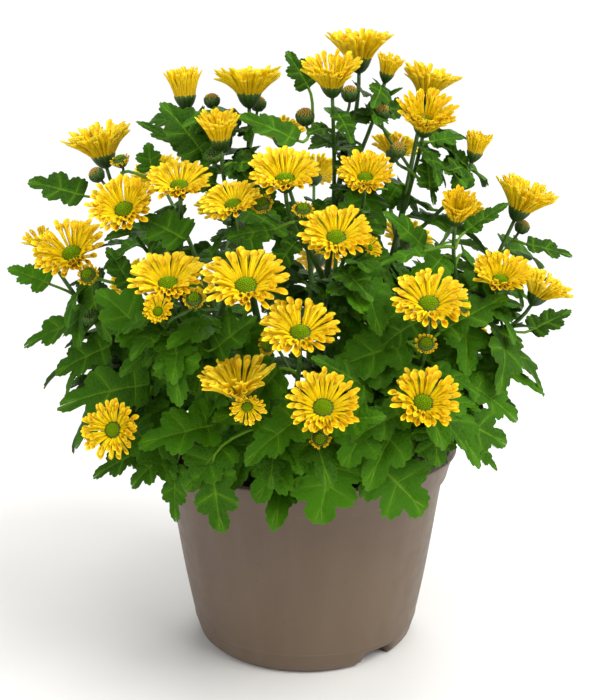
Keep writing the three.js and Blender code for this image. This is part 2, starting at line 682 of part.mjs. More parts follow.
// Soil that fills the pot to just below the rim, with an uneven top.
function soilBody() {
  const bottom = BASE_HEIGHT + WALL + GAP;
  const slope = (WALL_TOP_RADIUS - WALL_FOOT_RADIUS) / (POT_HEIGHT - BAND_HEIGHT - BASE_HEIGHT);
  const inside = (z) => WALL_FOOT_RADIUS + slope * (z - BASE_HEIGHT) - WALL - SOIL_MARGIN;
  const wavy = (x, y) => SOIL_TOP + SOIL_WAVE * Math.sin(0.11 * x + 1.3) * Math.cos(0.13 * y - 0.4);
  const points = [vec(0, 0, bottom), vec(0, 0, SOIL_TOP)];
  const faces = [];
  const ring = (radius, height) => {
    const start = points.length;
    for (let k = 0; k < SOIL_SIDES; k++) {
      const turn = (2 * Math.PI * k) / SOIL_SIDES;
      const [x, y] = [radius * Math.cos(turn), radius * Math.sin(turn)];
      points.push(vec(x, y, height(x, y)));
    }
    return start;
  };
  const top = inside(SOIL_TOP);
  const rows = [ring(inside(bottom), () => bottom), ring(top, wavy), ring(top / 2, wavy)];
  for (let k = 0; k < SOIL_SIDES; k++) {
    const n = (k + 1) % SOIL_SIDES;
    faces.push([0, rows[0] + n, rows[0] + k], [rows[2] + k, rows[2] + n, 1]);
    for (let i = 0; i + 1 < rows.length; i++) {
      faces.push([rows[i] + k, rows[i] + n, rows[i + 1] + n]);
      faces.push([rows[i] + k, rows[i + 1] + n, rows[i + 1] + k]);
    }
  }
  return solid(points, faces);
}

// Every solid, with the node that it belongs to: what a leaf has to lie clear of.
const pieces = [];

const boxOf = (body) => {
  const box = body.boundingBox();
  return new THREE.Box3(vec(...box.min), vec(...box.max));
};

const keep = (node, kind, body) => pieces.push({ node, kind, body, box: boxOf(body) });

const taper = (line, from, to) => line.map((_, i) => from + ((to - from) * i) / (line.length - 1));

// A stem with its flower stalks, bract cups and discs. Its first bloom ends the main stem,
// and the others branch from it below the fork. Returns the lines that the stalks follow.
function growStem(stem) {
  const base = vec(...stem.base, SOIL_TOP - STEM_SINK + GAP);
  const ground = vec(...stem.base, SOIL_TOP + STEM_RISE);
  const fork = vec(...stem.fork);
  const lean = new THREE.Vector3().subVectors(fork, ground).normalize();
  const bend = STEM_BEND * ground.distanceTo(fork);
  const main = [base, ...curve(ground, UP, fork, lean, bend, STEM_STEPS)];
  const below = main[main.length - 2];
  return stem.blooms.map((b, i) => {
    const start = new THREE.Vector3().lerpVectors(below, fork, 1 - BRANCH_STEP * i);
    const foot = b.place.clone().addScaledVector(b.axis, -CUP_DEPTH * b.radius - RING_THICK);
    const rise = curve(start, lean, foot, b.axis, STALK_BEND * start.distanceTo(foot), STALK_STEPS);
    const line = i === 0 ? [...main, ...rise.slice(1)] : rise;
    const radii = i === 0
      ? [...taper(main, STEM_FOOT_R, STEM_FORK_R), ...taper(rise, STEM_FORK_R, STALK_R).slice(1)]
      : taper(rise, BRANCH_R, STALK_R);
    keep(stem.name, "stalk", headed(line, radii, b.place, b.axis, receptacle(b.radius), HEAD_SIDES));
    return i === 0 ? line.slice(1) : line;
  });
}

// The point of a stem's lines from which a petiole or bud stalk to `point` starts: near it,
// and rather below than above.
function nearest(lines, point) {
  let best = null;
  for (const line of lines) {
    for (let i = 0; i + 1 < line.length; i++) {
      for (const share of [0, 0.5]) {
        const at = new THREE.Vector3().lerpVectors(line[i], line[i + 1], share);
        const far = at.distanceTo(point) + Math.max(0, at.z - point.z + ROOT_BELOW) / 2;
        if (!best || far < best.far) best = { at, far };
      }
    }
  }
  return best.at;
}

function growBud([name, place, face, diameter]) {
  const axis = facing(...face);
  const foot = place.clone().addScaledVector(axis, -BUD_NECK * diameter);
  const root = nearest(lines.get(name), foot.clone().addScaledVector(axis, -BUD_DROP));
  const line = curve(root, axis, foot, axis, STEM_BEND * root.distanceTo(foot), BUD_STEPS);
  lines.get(name).push(line);
  const radii = taper(line, BUD_STALK_R, BUD_NECK_R);
  keep(name, "stalk", headed(line, radii, place, axis, budShape(diameter / 2), BUD_SIDES));
}

// Whether a leaf of a stem is clear of all that it doesn't grow from.
function clear(body, stem) {
  const box = boxOf(body);
  return !pieces.some((piece) => {
    if (!piece.box.intersectsBox(box)) return false;
    const most = piece.node === stem ? SHARED[piece.kind] : SHARED.other;
    return body.intersect(piece.body).volume() > most;
  });
}

// Lays a leaf the first way that is clear, and leaves it out if none is.
function growLeaf(l) {
  for (const [lift, swing, scale] of BENDS) {
    const pose = leafPose(l, lift, swing, scale);
    const wish = pose.base.clone().addScaledVector(pose.start, -PETIOLE_LENGTH * pose.arc);
    const root = nearest(lines.get(l.stem), wish);
    if (clear(leafSolid(pose, root, GAP), l.stem)) {
      keep(l.stem, "leaf", leafSolid(pose, root, 0));
      return;
    }
  }
}

// The point at a share of the way along a line, counted by its points.
function alongLine(line, share) {
  const at = share * (line.length - 1);
  const i = Math.min(Math.floor(at), line.length - 2);
  return new THREE.Vector3().lerpVectors(line[i], line[i + 1], at - i);
}

// Leaves up a stem by the leaf angle of the species, spread to the side that it leans to.
function growRuleLeaves(stem, number) {
  const count = stem.name.includes("back") ? RULE.back : RULE.front;
  for (let i = 0; i < count; i++) {
    const share = RULE.first + ((RULE.last - RULE.first) * (i + 0.5)) / count;
    const at = alongLine(lines.get(stem.name)[0], share);
    const away = Math.atan2(at.x, -at.y) / radians(1);
    const turn = (STEP_ANGLE * (i + 1) + RULE.stemTurn * number) % RULE.spread;
    const azimuth = away + turn - RULE.spread / 2;
    const length = RULE.length * (1 - RULE.shrink * share);
    const base = at.clone().addScaledVector(facing(azimuth, RULE.climb), RULE.petiole);
    const tip = base.clone().addScaledVector(facing(azimuth, RULE.falls[i % 3]), length);
    growLeaf({ stem: stem.name, base, tip, width: length * RULE.width, face: UP, droop: RULE.droop });
  }
}

const lines = new Map(STEMS.map((stem) => [stem.name, growStem(stem)]));
BUDS.forEach(growBud);
STEMS.flatMap((stem) => stem.blooms).forEach((b, i) => {
  keep(`bloom_${String(i + 1).padStart(2, "0")}`, "bloom", petals(b));
});
let soil = soilBody();
for (const stem of STEMS) {
  const hole = [SOIL_TOP - STEM_SINK, SOIL_TOP + STEM_RISE].map((z) => vec(...stem.base, z));
  const radius = (STEM_FOOT_R + GAP) / Math.cos(Math.PI / HEAD_SIDES);
  soil = soil.subtract(stalk(hole, [radius, radius], [HEAD_SIDES, HEAD_SIDES]));
}
keep("soil", "soil", soil);
keep("pot", "pot", potBody());
LEAVES.forEach(growLeaf);
STEMS.forEach(growRuleLeaves);

const FINISH = {
  stalk: { color: 0x3c7a1c, roughness: 0.62 },
  bloom: { color: 0xf7c814, roughness: 0.55 },
  soil: { color: 0x2a1f17, roughness: 0.95 },
  pot: { color: 0x7c6a5c, roughness: 0.5 },
};

const plant = new THREE.Group();
plant.name = "potted_chrysanthemum";
for (const name of new Set(pieces.map((piece) => piece.node))) {
  const own = pieces.filter((piece) => piece.node === name);
  const mesh = new THREE.Mesh(
    geometryOf(join(own.map((piece) => piece.body))),
    new THREE.MeshStandardMaterial({ ...FINISH[own[0].kind], metalness: 0 }),
  );
  mesh.name = name;
  plant.add(mesh);
}

export default plant;
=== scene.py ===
"""The looks of a potted chrysanthemum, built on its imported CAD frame.

Lengths are millimetres until a mesh is made. Azimuth 0 faces the front (-Y) and turns towards +X.
The stems, buds and leaves repeat the tables of the part's source. Where a bloom lies, and which
way a leaf was bent clear of its neighbours, is read from the frame.
"""

import math
from collections import namedtuple

import bpy
import numpy as np
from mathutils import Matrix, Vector, noise
from mathutils.kdtree import KDTree


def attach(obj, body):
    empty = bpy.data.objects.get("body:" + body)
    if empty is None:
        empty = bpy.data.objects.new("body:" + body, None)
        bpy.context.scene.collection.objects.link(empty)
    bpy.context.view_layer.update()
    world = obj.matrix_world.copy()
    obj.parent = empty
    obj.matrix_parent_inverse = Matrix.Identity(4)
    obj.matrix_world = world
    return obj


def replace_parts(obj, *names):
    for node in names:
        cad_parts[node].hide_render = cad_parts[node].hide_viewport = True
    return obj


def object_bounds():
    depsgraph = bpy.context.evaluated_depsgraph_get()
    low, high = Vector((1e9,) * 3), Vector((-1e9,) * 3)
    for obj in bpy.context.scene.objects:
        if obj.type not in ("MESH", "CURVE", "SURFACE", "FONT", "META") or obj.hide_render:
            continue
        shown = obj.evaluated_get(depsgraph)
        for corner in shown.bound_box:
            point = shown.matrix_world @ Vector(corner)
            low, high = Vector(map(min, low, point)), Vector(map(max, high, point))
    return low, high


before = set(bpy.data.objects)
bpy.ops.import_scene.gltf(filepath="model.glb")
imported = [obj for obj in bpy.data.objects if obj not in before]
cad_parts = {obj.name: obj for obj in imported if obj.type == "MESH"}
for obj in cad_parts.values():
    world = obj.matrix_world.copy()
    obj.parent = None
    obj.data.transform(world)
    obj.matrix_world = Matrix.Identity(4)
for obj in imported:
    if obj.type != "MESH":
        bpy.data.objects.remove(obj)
cad_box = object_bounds()

MM = 0.001
SEED = 9
random = np.random.default_rng(SEED)

# Driving dimensions, as in the part's source but for the discs, which look smaller
POT_HEIGHT = 124
RIM_RADIUS = 95
RIM_LIP = 2.2
RIM_ROLL = 1.8
RIM_WIDE = 3.6
BAND_HEIGHT = 17.5
BAND_STEP = 2.2
WALL_TOP_RADIUS = 87
WALL_FOOT_RADIUS = 71.8
PARTING_HEIGHT = 13.9
FOOT_RADIUS = 65.4
FOOT_ROUND = 3.5
FOOT_RING = 3.2
WALL = 2.0
BASE_HEIGHT = 9
NOTCH_ANGLE = 39
NOTCH_WIDTH = 26
NOTCH_HEIGHT = 8.4
NOTCH_SLOPE = 3
BASE_RING = 36  # a ring of points on the base
SOIL_TOP = 110
STEM_SINK = 24
STEM_RISE = 6
STEM_FOOT_R = 2.9
STEM_FORK_R = 1.9
STEM_BEND = 0.3
STEM_STEPS = 4
BRANCH_R = 1.4
STALK_R = 1.05
STALK_BEND = 0.38
STALK_STEPS = 3
BRANCH_STEP = 0.3
BUD_STALK_R = 1.0
BUD_NECK_R = 0.8
BUD_NECK = 0.45
BUD_STEPS = 2
BUD_DROP = 18
ROOT_BELOW = 4
RING_OUTER = 0.34
RING_THICK = 1.3
CUP_DEPTH = 0.26
DISC_WIDE = 0.215
DISC_DOME = 0.1
GAP = 0.3
PETIOLE_LENGTH = 0.2
PETIOLE_R = (0.95, 0.8)
LEAF_FOLD = 14
STEP_ANGLE = 137.5

# The place from which the plant was measured, also the camera's: see the part's source.
EYE = {"back": 629, "height": 319, "pitch": 12.2, "focal": 1033, "cu": 305.4, "cv": 350}
PICTURE = (600, 700)

UP = np.array([0.0, 0.0, 1.0])


def unit(v):
    return v / np.linalg.norm(v)


def seen(u, v, y):
    """The point at depth y that lies at picture place (u, v)."""
    pitch = math.radians(EYE["pitch"])
    side, rise = (u - EYE["cu"]) / EYE["focal"], (EYE["cv"] - v) / EYE["focal"]
    t = (y + EYE["back"]) / (math.cos(pitch) + rise * math.sin(pitch))
    return np.array([t * side, y, EYE["height"] + t * (rise * math.cos(pitch) - math.sin(pitch))])


def facing(azimuth, elevation):
    a, e = math.radians(azimuth), math.radians(elevation)
    return np.array([math.sin(a) * math.cos(e), -math.cos(a) * math.cos(e), math.sin(e)])


def turned(v, axis, degrees):
    """v turned about a unit axis."""
    c, s = math.cos(math.radians(degrees)), math.sin(math.radians(degrees))
    return v * c + np.cross(axis, v) * s + axis * (axis @ v) * (1 - c)


def crossways(axis):
    """Two directions across an axis."""
    first = np.cross(UP, axis)
    first = unit(first) if np.linalg.norm(first) >= 0.05 else np.array([1.0, 0.0, 0.0])
    return first, unit(np.cross(axis, first))


# Each stem: where it leaves the soil, its fork, and how many blooms it carries. Blooms are
# numbered through the stems.
Stem = namedtuple("Stem", "name base fork blooms")
STEMS = [
    Stem("stem_top_middle", (4, 2), (16, -14, 262), 3),
    Stem("stem_top_right", (26, 6), (52, -18, 246), 3),
    Stem("stem_top_left", (-18, 4), (-36, -22, 246), 3),
    Stem("stem_left_high", (-40, -2), (-72, -24, 216), 3),
    Stem("stem_left_low", (-54, -18), (-92, -34, 168), 3),
    Stem("stem_front_left", (-32, -34), (-48, -62, 186), 4),
    Stem("stem_front_middle", (2, -24), (12, -52, 214), 4),
    Stem("stem_right_high", (46, -14), (84, -30, 190), 4),
    Stem("stem_front_right", (34, -42), (54, -70, 166), 2),
    Stem("stem_front_low", (-4, -56), (-6, -82, 152), 4),
    Stem("stem_back_left", (-34, 26), (-60, 50, 196), 4),
    Stem("stem_back_middle", (2, 40), (4, 66, 214), 4),
    Stem("stem_back_right", (38, 24), (62, 46, 196), 4),
]

# Buds on the stems: place in the picture with its depth, facing, diameter, and whether a ring of
# petals is open, their tips show colour, or all is still green.
BUDS = {
    "stem_front_middle": [
        ((262, 204, -104), (-10, 45), 10, "ring"),
        ((303, 209, -112), (0, 50), 9, "ring"),
    ],
    "stem_left_low": [
        ((88, 275, -74), (-10, 30), 10, "ring"),
        ((92, 317, -66), (-20, 50), 8, "green"),
    ],
    "stem_front_left": [
        ((194, 299, -126), (0, 45), 9.5, "ring"),
    ],
    "stem_front_right": [
        ((426, 344, -122), (0, 40), 9.5, "ring"),
        ((463, 305, -108), (50, 20), 10, "ring"),
    ],
    "stem_front_low": [
        ((320, 438, -134), (0, 5), 9, "ring"),
        ((268, 344, -112), (-40, 20), 10, "ring"),
    ],
    "stem_left_high": [
        ((120, 160, -30), (-30, 60), 9.5, "ring"),
        ((97, 175, -28), (-60, 50), 9, "tips"),
    ],
    "stem_top_left": [
        ((212, 101, -46), (0, 75), 8.5, "tips"),
        ((258, 104, -34), (30, 75), 9, "tips"),
        ((214, 156, -84), (0, 50), 8, "green"),
    ],
    "stem_top_middle": [
        ((350, 94, -44), (0, 70), 9.5, "tips"),
        ((305, 117, -54), (-10, 60), 10, "tips"),
    ],
    "stem_top_right": [
        ((382, 113, -44), (0, 65), 9.5, "tips"),
        ((398, 150, -78), (10, 50), 8.5, "tips"),
    ],
    "stem_right_high": [
        ((522, 227, -30), (60, 60), 8.5, "tips"),
    ],
}

# Leaves that shape the outline and front: blade base and tip in the picture with their depths,
# width, facing and droop.
LEAVES = {
    "stem_left_high": [
        ((84, 196, -26), (29, 182, -22), 24, (-10, 45), 12),
        ((186, 240, -94), (142, 218, -84), 26, (-4, 45), 16),
        ((152, 172, -48), (148, 143, -44), 17, (-8, 40), 12),
    ],
    "stem_left_low": [
        ((50, 284, -34), (9, 268, -28), 18, (-10, 45), 10),
        ((88, 318, -44), (25, 346, -40), 24, (-15, 50), 18),
        ((110, 346, -60), (57, 373, -62), 26, (-12, 45), 20),
        ((150, 384, -84), (60, 406, -84), 36, (-10, 50), 22),
        ((146, 449, -92), (94, 477, -92), 20, (-20, 45), 20),
        ((165, 455, -96), (132, 486, -98), 22, (-20, 40), 24),
        ((132, 286, -70), (107, 248, -62), 16, (-8, 40), 12),
    ],
    "stem_front_low": [
        ((220, 424, -112), (140, 446, -118), 34, (-10, 50), 24),
        ((228, 441, -114), (186, 490, -120), 30, (-14, 40), 26),
        ((212, 464, -120), (222, 531, -124), 27, (-16, 25), 20),
        ((292, 446, -112), (256, 500, -118), 30, (-6, 35), 26),
        ((332, 456, -116), (318, 523, -122), 40, (0, 25), 24),
        ((372, 392, -112), (313, 358, -122), 20, (0, 50), 16),
    ],
    "stem_front_left": [
        ((176, 462, -98), (176, 521, -100), 18, (-25, 25), 18),
        ((150, 337, -98), (98, 290, -80), 30, (-8, 45), 16),
        ((214, 350, -112), (256, 318, -116), 22, (0, 45), 16),
    ],
    "stem_front_right": [
        ((372, 414, -124), (344, 466, -134), 32, (6, 35), 24),
        ((374, 462, -112), (424, 512, -112), 44, (14, 28), 26),
        ((432, 424, -112), (438, 466, -116), 26, (12, 30), 20),
        ((455, 419, -98), (505, 444, -96), 28, (16, 40), 22),
        ((470, 441, -86), (497, 470, -84), 10, (20, 40), 14),
        ((392, 330, -104), (350, 268, -104), 26, (0, 45), 16),
        ((440, 332, -104), (506, 297, -96), 24, (4, 50), 16),
    ],
    "stem_right_high": [
        ((470, 384, -84), (516, 420, -80), 24, (16, 45), 18),
        ((486, 358, -64), (544, 394, -60), 13, (10, 55), 12),
        ((530, 331, -36), (571, 311, -30), 17, (10, 50), 8),
        ((526, 244, -34), (571, 256, -28), 14, (10, 45), 10),
        ((466, 231, -58), (508, 204, -52), 13, (-10, 50), 12),
        ((424, 247, -84), (384, 212, -92), 16, (-5, 45), 10),
        ((424, 251, -96), (381, 264, -108), 9, (0, 50), 12),
    ],
    "stem_top_right": [
        ((464, 190, -54), (447, 136, -54), 16, (0, 40), 14),
        ((430, 188, -72), (426, 153, -66), 15, (0, 40), 14),
        ((366, 112, -34), (414, 80, -38), 13, (-10, 55), 10),
    ],
    "stem_top_left": [
        ((206, 156, -62), (162, 103, -54), 26, (-5, 40), 14),
        ((192, 152, -44), (138, 122, -34), 12, (-5, 55), 10),
    ],
    "stem_top_middle": [
        ((309, 88, -46), (287, 52, -46), 17, (-10, 40), 12),
        ((298, 141, -76), (239, 116, -72), 20, (0, 50), 14),
    ],
    "stem_front_middle": [
        ((272, 230, -104), (228, 238, -112), 12, (0, 50), 16),
    ],
}

# Leaves that shape the back: blade base and tip in millimetres, width and droop.
BACK_LEAVES = {
    "stem_back_right": [
        ((126, 46, 226), (172, 50, 214), 30, 24),
        ((112, 78, 160), (140, 104, 134), 30, 34),
    ],
    "stem_back_left": [
        ((-112, 78, 160), (-142, 104, 136), 30, 34),
    ],
}

# Leaves by rule on each stem, and ways to bend a leaf clear, both as in the part's source.
RULE = {
    "front": 2, "back": 6, "first": 0.22, "last": 0.8, "spread": 200, "stem_turn": 50,
    "climb": 24, "petiole": 13, "length": 60, "shrink": 0.35, "width": 0.66,
    "falls": (-12, -30, -46), "droop": 46,
}
BENDS = [
    (0, 0, 1), (8, 0, 1), (-8, 0, 1), (0, 10, 1), (0, -10, 1), (15, 0, 1), (-15, 0, 1),
    (8, 12, 0.95), (8, -12, 0.95), (-8, 12, 0.95), (-8, -12, 0.95), (0, 20, 0.9), (0, -20, 0.9),
    (24, 0, 0.9), (-24, 0, 0.9), (15, 22, 0.85), (15, -22, 0.85), (-15, 22, 0.85),
    (-15, -22, 0.85), (0, 0, 0.7), (30, 0, 0.7), (-30, 0, 0.7), (0, 30, 0.7), (0, -30, 0.7),
    (20, 35, 0.6), (20, -35, 0.6),
]


Leaf = namedtuple("Leaf", "base tip width face droop")


def chosen_leaves(name):
    """The leaves that the tables give a stem."""
    for base, tip, width, face, droop in LEAVES.get(name, []):
        yield Leaf(seen(*base), seen(*tip), width, facing(*face), droop)
    for base, tip, width, droop in BACK_LEAVES.get(name, []):
        yield Leaf(np.array(base, float), np.array(tip, float), width, UP, droop)


# What the frame says

Bloom = namedtuple("Bloom", "name place axis radius rise")


def corners(node):
    """A CAD node's distinct vertices in millimetres."""
    flat = np.empty(3 * len(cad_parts[node].data.vertices), np.float32)
    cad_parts[node].data.vertices.foreach_get("co", flat)
    return np.unique((flat.reshape(-1, 3) / MM).round(3), axis=0).astype(float)


def read_bloom(name):
    """A bloom, measured on its CAD node: a ring with petals of equal turn round one axis."""
    points = corners(name)
    centre = points.mean(axis=0)
    spread, ways = np.linalg.eigh(np.cov((points - centre).T))
    axis = ways[:, 2] if spread[2] - spread[1] > spread[1] - spread[0] else ways[:, 0]
    along = (points - centre) @ axis
    out = np.linalg.norm(points - centre - np.outer(along, axis), axis=1)
    if np.corrcoef(along, out)[0, 1] < 0:
        axis, along = -axis, -along
    ring = out < 1.25 * out.min()
    edge, height = out[ring].max(), along[ring].min() + RING_THICK
    far = np.argmax(np.hypot(out - edge, along - height))
    rise = math.degrees(math.atan2(along[far] - height, out[far] - edge))
    return Bloom(name, centre + height * axis, axis, edge / RING_OUTER, rise)


def curve(start, start_way, end, end_way, reach, steps):
    """Points of a cubic curve that leaves start along one direction and reaches end along another."""
    t = np.linspace(0, 1, steps + 1)[:, None]
    a, b = start + reach * start_way, end - reach * end_way
    return (1 - t) ** 3 * start + 3 * (1 - t) ** 2 * t * a + 3 * (1 - t) * t**2 * b + t**3 * end


def stem_lines(stem, blooms, finer=1):
    """The line of each flower stalk of a stem. The first is also the main stem's."""
    base = np.array([*stem.base, SOIL_TOP - STEM_SINK + GAP], float)
    ground = np.array([*stem.base, SOIL_TOP + STEM_RISE], float)
    fork = np.array(stem.fork, float)
    lean = unit(fork - ground)
    bend = STEM_BEND * np.linalg.norm(fork - ground)
    main = curve(ground, UP, fork, lean, bend, STEM_STEPS)
    below = main[-2]
    fine = curve(ground, UP, fork, lean, bend, STEM_STEPS * finer)
    lines = []
    for i, b in enumerate(blooms):
        start = below + (fork - below) * (1 - BRANCH_STEP * i)
        foot = b.place - b.axis * (CUP_DEPTH * b.radius + RING_THICK)
        reach = STALK_BEND * np.linalg.norm(foot - start)
        rise = curve(start, lean, foot, b.axis, reach, STALK_STEPS * finer)
        lines.append(np.vstack([fine, rise[1:]]) if i == 0 else rise)
    return base, lines


def nearest(lines, point):
    """Where on a stem's lines what grows to a point has its root."""
    best = (math.inf, None)
    for line in lines:
        for i in range(len(line) - 1):
            for share in (0, 0.5):
                at = line[i] + (line[i + 1] - line[i]) * share
                far = np.linalg.norm(at - point) + max(0, at[2] - point[2] + ROOT_BELOW) / 2
                if far < best[0]:
                    best = (far, at)
    return best[1]


# Leaves

Pose = namedtuple("Pose", "base start normal side arc droop width")


def leaf_pose(l, lift=0, swing=0, scale=1):
    """How a leaf lies: from its blade base along an arc that droops from its upper side."""
    length = np.linalg.norm(l.tip - l.base) * scale
    chord = unit(l.tip - l.base)
    face = unit(l.face - chord * (l.face @ chord))
    chord = turned(chord, face, swing)
    side = np.cross(chord, face)
    chord, face = turned(chord, side, lift), turned(face, side, lift)
    half = l.droop / 2
    start, normal = turned(chord, side, half), turned(face, side, half)
    arc = length * math.radians(half) / math.sin(math.radians(half))
    return Pose(l.base, start, normal, side, arc, math.radians(l.droop), l.width * scale)


def leaf_points(pose, along, out, up):
    """Points of a posed leaf at shares along its midrib, out to a side and raised, as arrays."""
    turn = (pose.droop * along)[:, None]
    radius = pose.arc / pose.droop
    fold = math.radians(LEAF_FOLD)
    normal = -np.sin(turn) * -pose.start + np.cos(turn) * pose.normal
    return (
        pose.base
        + radius * np.sin(turn) * pose.start
        - radius * (1 - np.cos(turn)) * pose.normal
        + (out * math.cos(fold))[:, None] * pose.side
        + (np.abs(out) * math.sin(fold) + up)[:, None] * normal
    )


def tip_of(pose):
    return leaf_points(pose, np.ones(1), np.zeros(1), np.zeros(1))[0]


TIP_MATCH = 0.05  # between a leaf's tip and its vertex in the frame


def placed(l, tree):
    """The pose that the part's source gave a leaf, found by its tip in the stem's CAD node."""
    poses = [leaf_pose(l, *bend) for bend in BENDS]
    seen_tips = (pose for pose in poses if tree.find(tip_of(pose))[2] < TIP_MATCH)
    return next(seen_tips, poses[0])


def along_line(line, share):
    at = share * (len(line) - 1)
    i = min(int(at), len(line) - 2)
    return line[i] + (line[i + 1] - line[i]) * (at - i)


def rule_leaves(stem, number, line):
    count = RULE["back"] if "back" in stem.name else RULE["front"]
    for i in range(count):
        share = RULE["first"] + (RULE["last"] - RULE["first"]) * (i + 0.5) / count
        at = along_line(line, share)
        away = math.degrees(math.atan2(at[0], -at[1]))
        turn = math.fmod(STEP_ANGLE * (i + 1) + RULE["stem_turn"] * number, RULE["spread"])
        azimuth = away + turn - RULE["spread"] / 2
        length = RULE["length"] * (1 - RULE["shrink"] * share)
        base = at + facing(azimuth, RULE["climb"]) * RULE["petiole"]
        tip = base + facing(azimuth, RULE["falls"][i % 3]) * length
        yield Leaf(base, tip, length * RULE["width"], UP, RULE["droop"])


# Meshes

class Shape:
    """Points and faces of one piece, gathered part by part. Each point has a grain: how far
    along and across its part it lies, and a number that tells the part from others."""

    def __init__(self):
        self.points, self.faces, self.slots, self.grain = [], [], [], []
        self.count = 0

    def add(self, points, faces, along=0.0, across=0.0, tone=0.5, slot=0):
        points = points.reshape(-1, 3)
        grain = np.empty((len(points), 3))
        grain[:, 0] = np.ravel(along)
        grain[:, 1] = np.ravel(across)
        grain[:, 2] = np.ravel(tone)
        self.points.append(points)
        self.grain.append(grain)
        for some in faces if isinstance(faces, list) else [faces]:
            self.faces.append(some + self.count)
            self.slots.append(np.full(len(some), slot))
        self.count += len(points)

    def build(self, name, materials, slot):
        mesh = bpy.data.meshes.new(name)
        corner = np.concatenate([f.ravel() for f in self.faces]).astype(np.int32)
        size = np.concatenate([np.full(len(f), f.shape[1]) for f in self.faces])
        mesh.vertices.add(self.count)
        mesh.vertices.foreach_set("co", (np.concatenate(self.points) * MM).ravel())
        mesh.loops.add(len(corner))
        mesh.loops.foreach_set("vertex_index", corner)
        mesh.polygons.add(len(size))
        mesh.polygons.foreach_set("loop_start", np.cumsum(size) - size)
        mesh.polygons.foreach_set("material_index", np.concatenate(self.slots).astype(np.int32))
        mesh.polygons.foreach_set("use_smooth", np.ones(len(size), bool))
        grain = mesh.attributes.new("grain", "FLOAT_VECTOR", "POINT")
        grain.data.foreach_set("vector", np.concatenate(self.grain).ravel())
        for material in materials:
            mesh.materials.append(material)
        mesh.update(calc_edges=True)
        piece = bpy.data.objects.new(name, mesh)
        bpy.context.collection.objects.link(piece)
        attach(piece, "root")
        return piece


def grid(rows, columns, closed=False):
    """The quads of a grid of points, whose last column meets the first if it is closed."""
    r = np.arange(rows - 1)[:, None] * columns
    c = np.arange(columns if closed else columns - 1)[None, :]
    n = (c + 1) % columns
    return np.stack([r + c, r + n, r + columns + n, r + columns + c], axis=-1).reshape(-1, 4)


def repeated(faces, count, size):
    """A part's faces, for count parts of size points each."""
    return (faces[None] + (np.arange(count) * size)[:, None, None]).reshape(-1, faces.shape[1])


def smooth(low, high, x):
    t = np.clip((x - low) / (high - low), 0, 1)
    return t * t * (3 - 2 * t)


def tube(shape, path, radii, sides, tone=0.5):
    """A round stalk along a path, closed by a flat point at each end."""
    path = np.asarray(path)
    way = np.gradient(path, axis=0)
    way /= np.linalg.norm(way, axis=1)[:, None]
    first = crossways(way[0])[0]
    rings = []
    turn = np.arange(sides) * 2 * np.pi / sides
    for at, ahead, radius in zip(path, way, radii):
        first = unit(first - ahead * (first @ ahead))
        second = np.cross(ahead, first)
        rings.append(at + radius * (np.outer(np.cos(turn), first) + np.outer(np.sin(turn), second)))
    points = np.concatenate([*rings, path[:1], path[-1:]])
    n = len(path)
    k = np.arange(sides)
    low = np.stack([np.full(sides, n * sides), (k + 1) % sides, k], axis=1)
    top = (n - 1) * sides
    high = np.stack([np.full(sides, n * sides + 1), top + k, top + (k + 1) % sides], axis=1)
    along = np.concatenate([np.repeat(np.linspace(0, 1, n), sides), [0, 1]])
    shape.add(points, [grid(n, sides, closed=True), low, high], along, tone=tone)


# Leaves as they are seen: ribs fan out from the midrib, ever more forward, to an edge of
# rounded lobes with rounded teeth. A rib is known by its share s, from the base to the tip.
LEAF_ROWS = 40
RIB_SHARES = np.array([0, 0.12, 0.6, 1.0])
RIB_ROOTS = 0.76  # of the midrib, from which ribs grow
RIB_SPLAY = 112  # degrees between the first rib and the midrib
RIB_CURL = 0.12  # of its splay, which a rib loses towards the edge
RIB_REACH = 0.31  # of a whole rib that lies along the midrib, over blade length
LOBES = ((0.2, 0.185, 0.92), (0.55, 0.2, 1.0), (0.98, 0.26, 0.88))  # middle, half width, reach
SINUS = 0.55  # reach between lobes
TEETH = (4, 4, 7)
TOOTH_DEPTH = 0.14
LEAF_SHEET = 0.35  # thickness
MIDRIB_DEEP = 0.9
RIDGE = 3.0  # rise of the blade beside its veins
WAVE = 1.3  # of the edge
EDGE_DROP = 2.2
LEAF_FORMS = 8
FORM_LENGTH = 50  # of the blade that these heights are for


def half_outline(s):
    """How far each rib reaches, in half widths."""
    reach = SINUS * smooth(-0.02, 0.1, s)
    for (centre, wide, far), teeth in zip(LOBES, TEETH):
        x = (s - centre - random.normal(0, 0.008)) / wide
        lobe = far * (1 + random.normal(0, 0.05)) * np.clip(1 - np.abs(x) ** 3, 0, 1) ** 0.5
        notch = 1 - np.abs(np.sin(np.pi * teeth * (x + 1) / 2))
        reach = np.maximum(reach, lobe * (1 - TOOTH_DEPTH * notch**1.3))
    return reach


def leaf_form():
    """A leaf's grid: share along the midrib, out in half widths, relief, and both shares of ribs."""
    s = np.linspace(0, 1, LEAF_ROWS + 1)[:, None]
    t = RIB_SHARES[None, :]
    splay = np.radians(RIB_SPLAY) * (1 - s) ** 0.68
    vein = np.min([np.abs(s - lobe[0]) for lobe in LOBES], axis=0)
    sides = []
    for hand in (-1, 1):
        reach = half_outline(s)
        lean = splay * (1 - RIB_CURL * t)
        along = RIB_ROOTS * s + RIB_REACH * reach * t * np.cos(lean)
        out = hand * reach * t * np.sin(lean) * 1.08
        relief = RIDGE * smooth(0, 0.09, vein) * t**0.6 * (1 - 0.8 * t) - 0.5 * (t == 0)
        relief = relief + WAVE * np.sin(2 * np.pi * (2.1 * s + random.random())) * t**3
        relief = (relief - EDGE_DROP * (reach * t) ** 2) * np.sin(splay).clip(0.15, 1)
        sides.append(np.array(np.broadcast_arrays(along, out, relief, s, t)))
    left, right = sides
    left = left[:, :, :0:-1]
    return np.concatenate([left, right], axis=2)


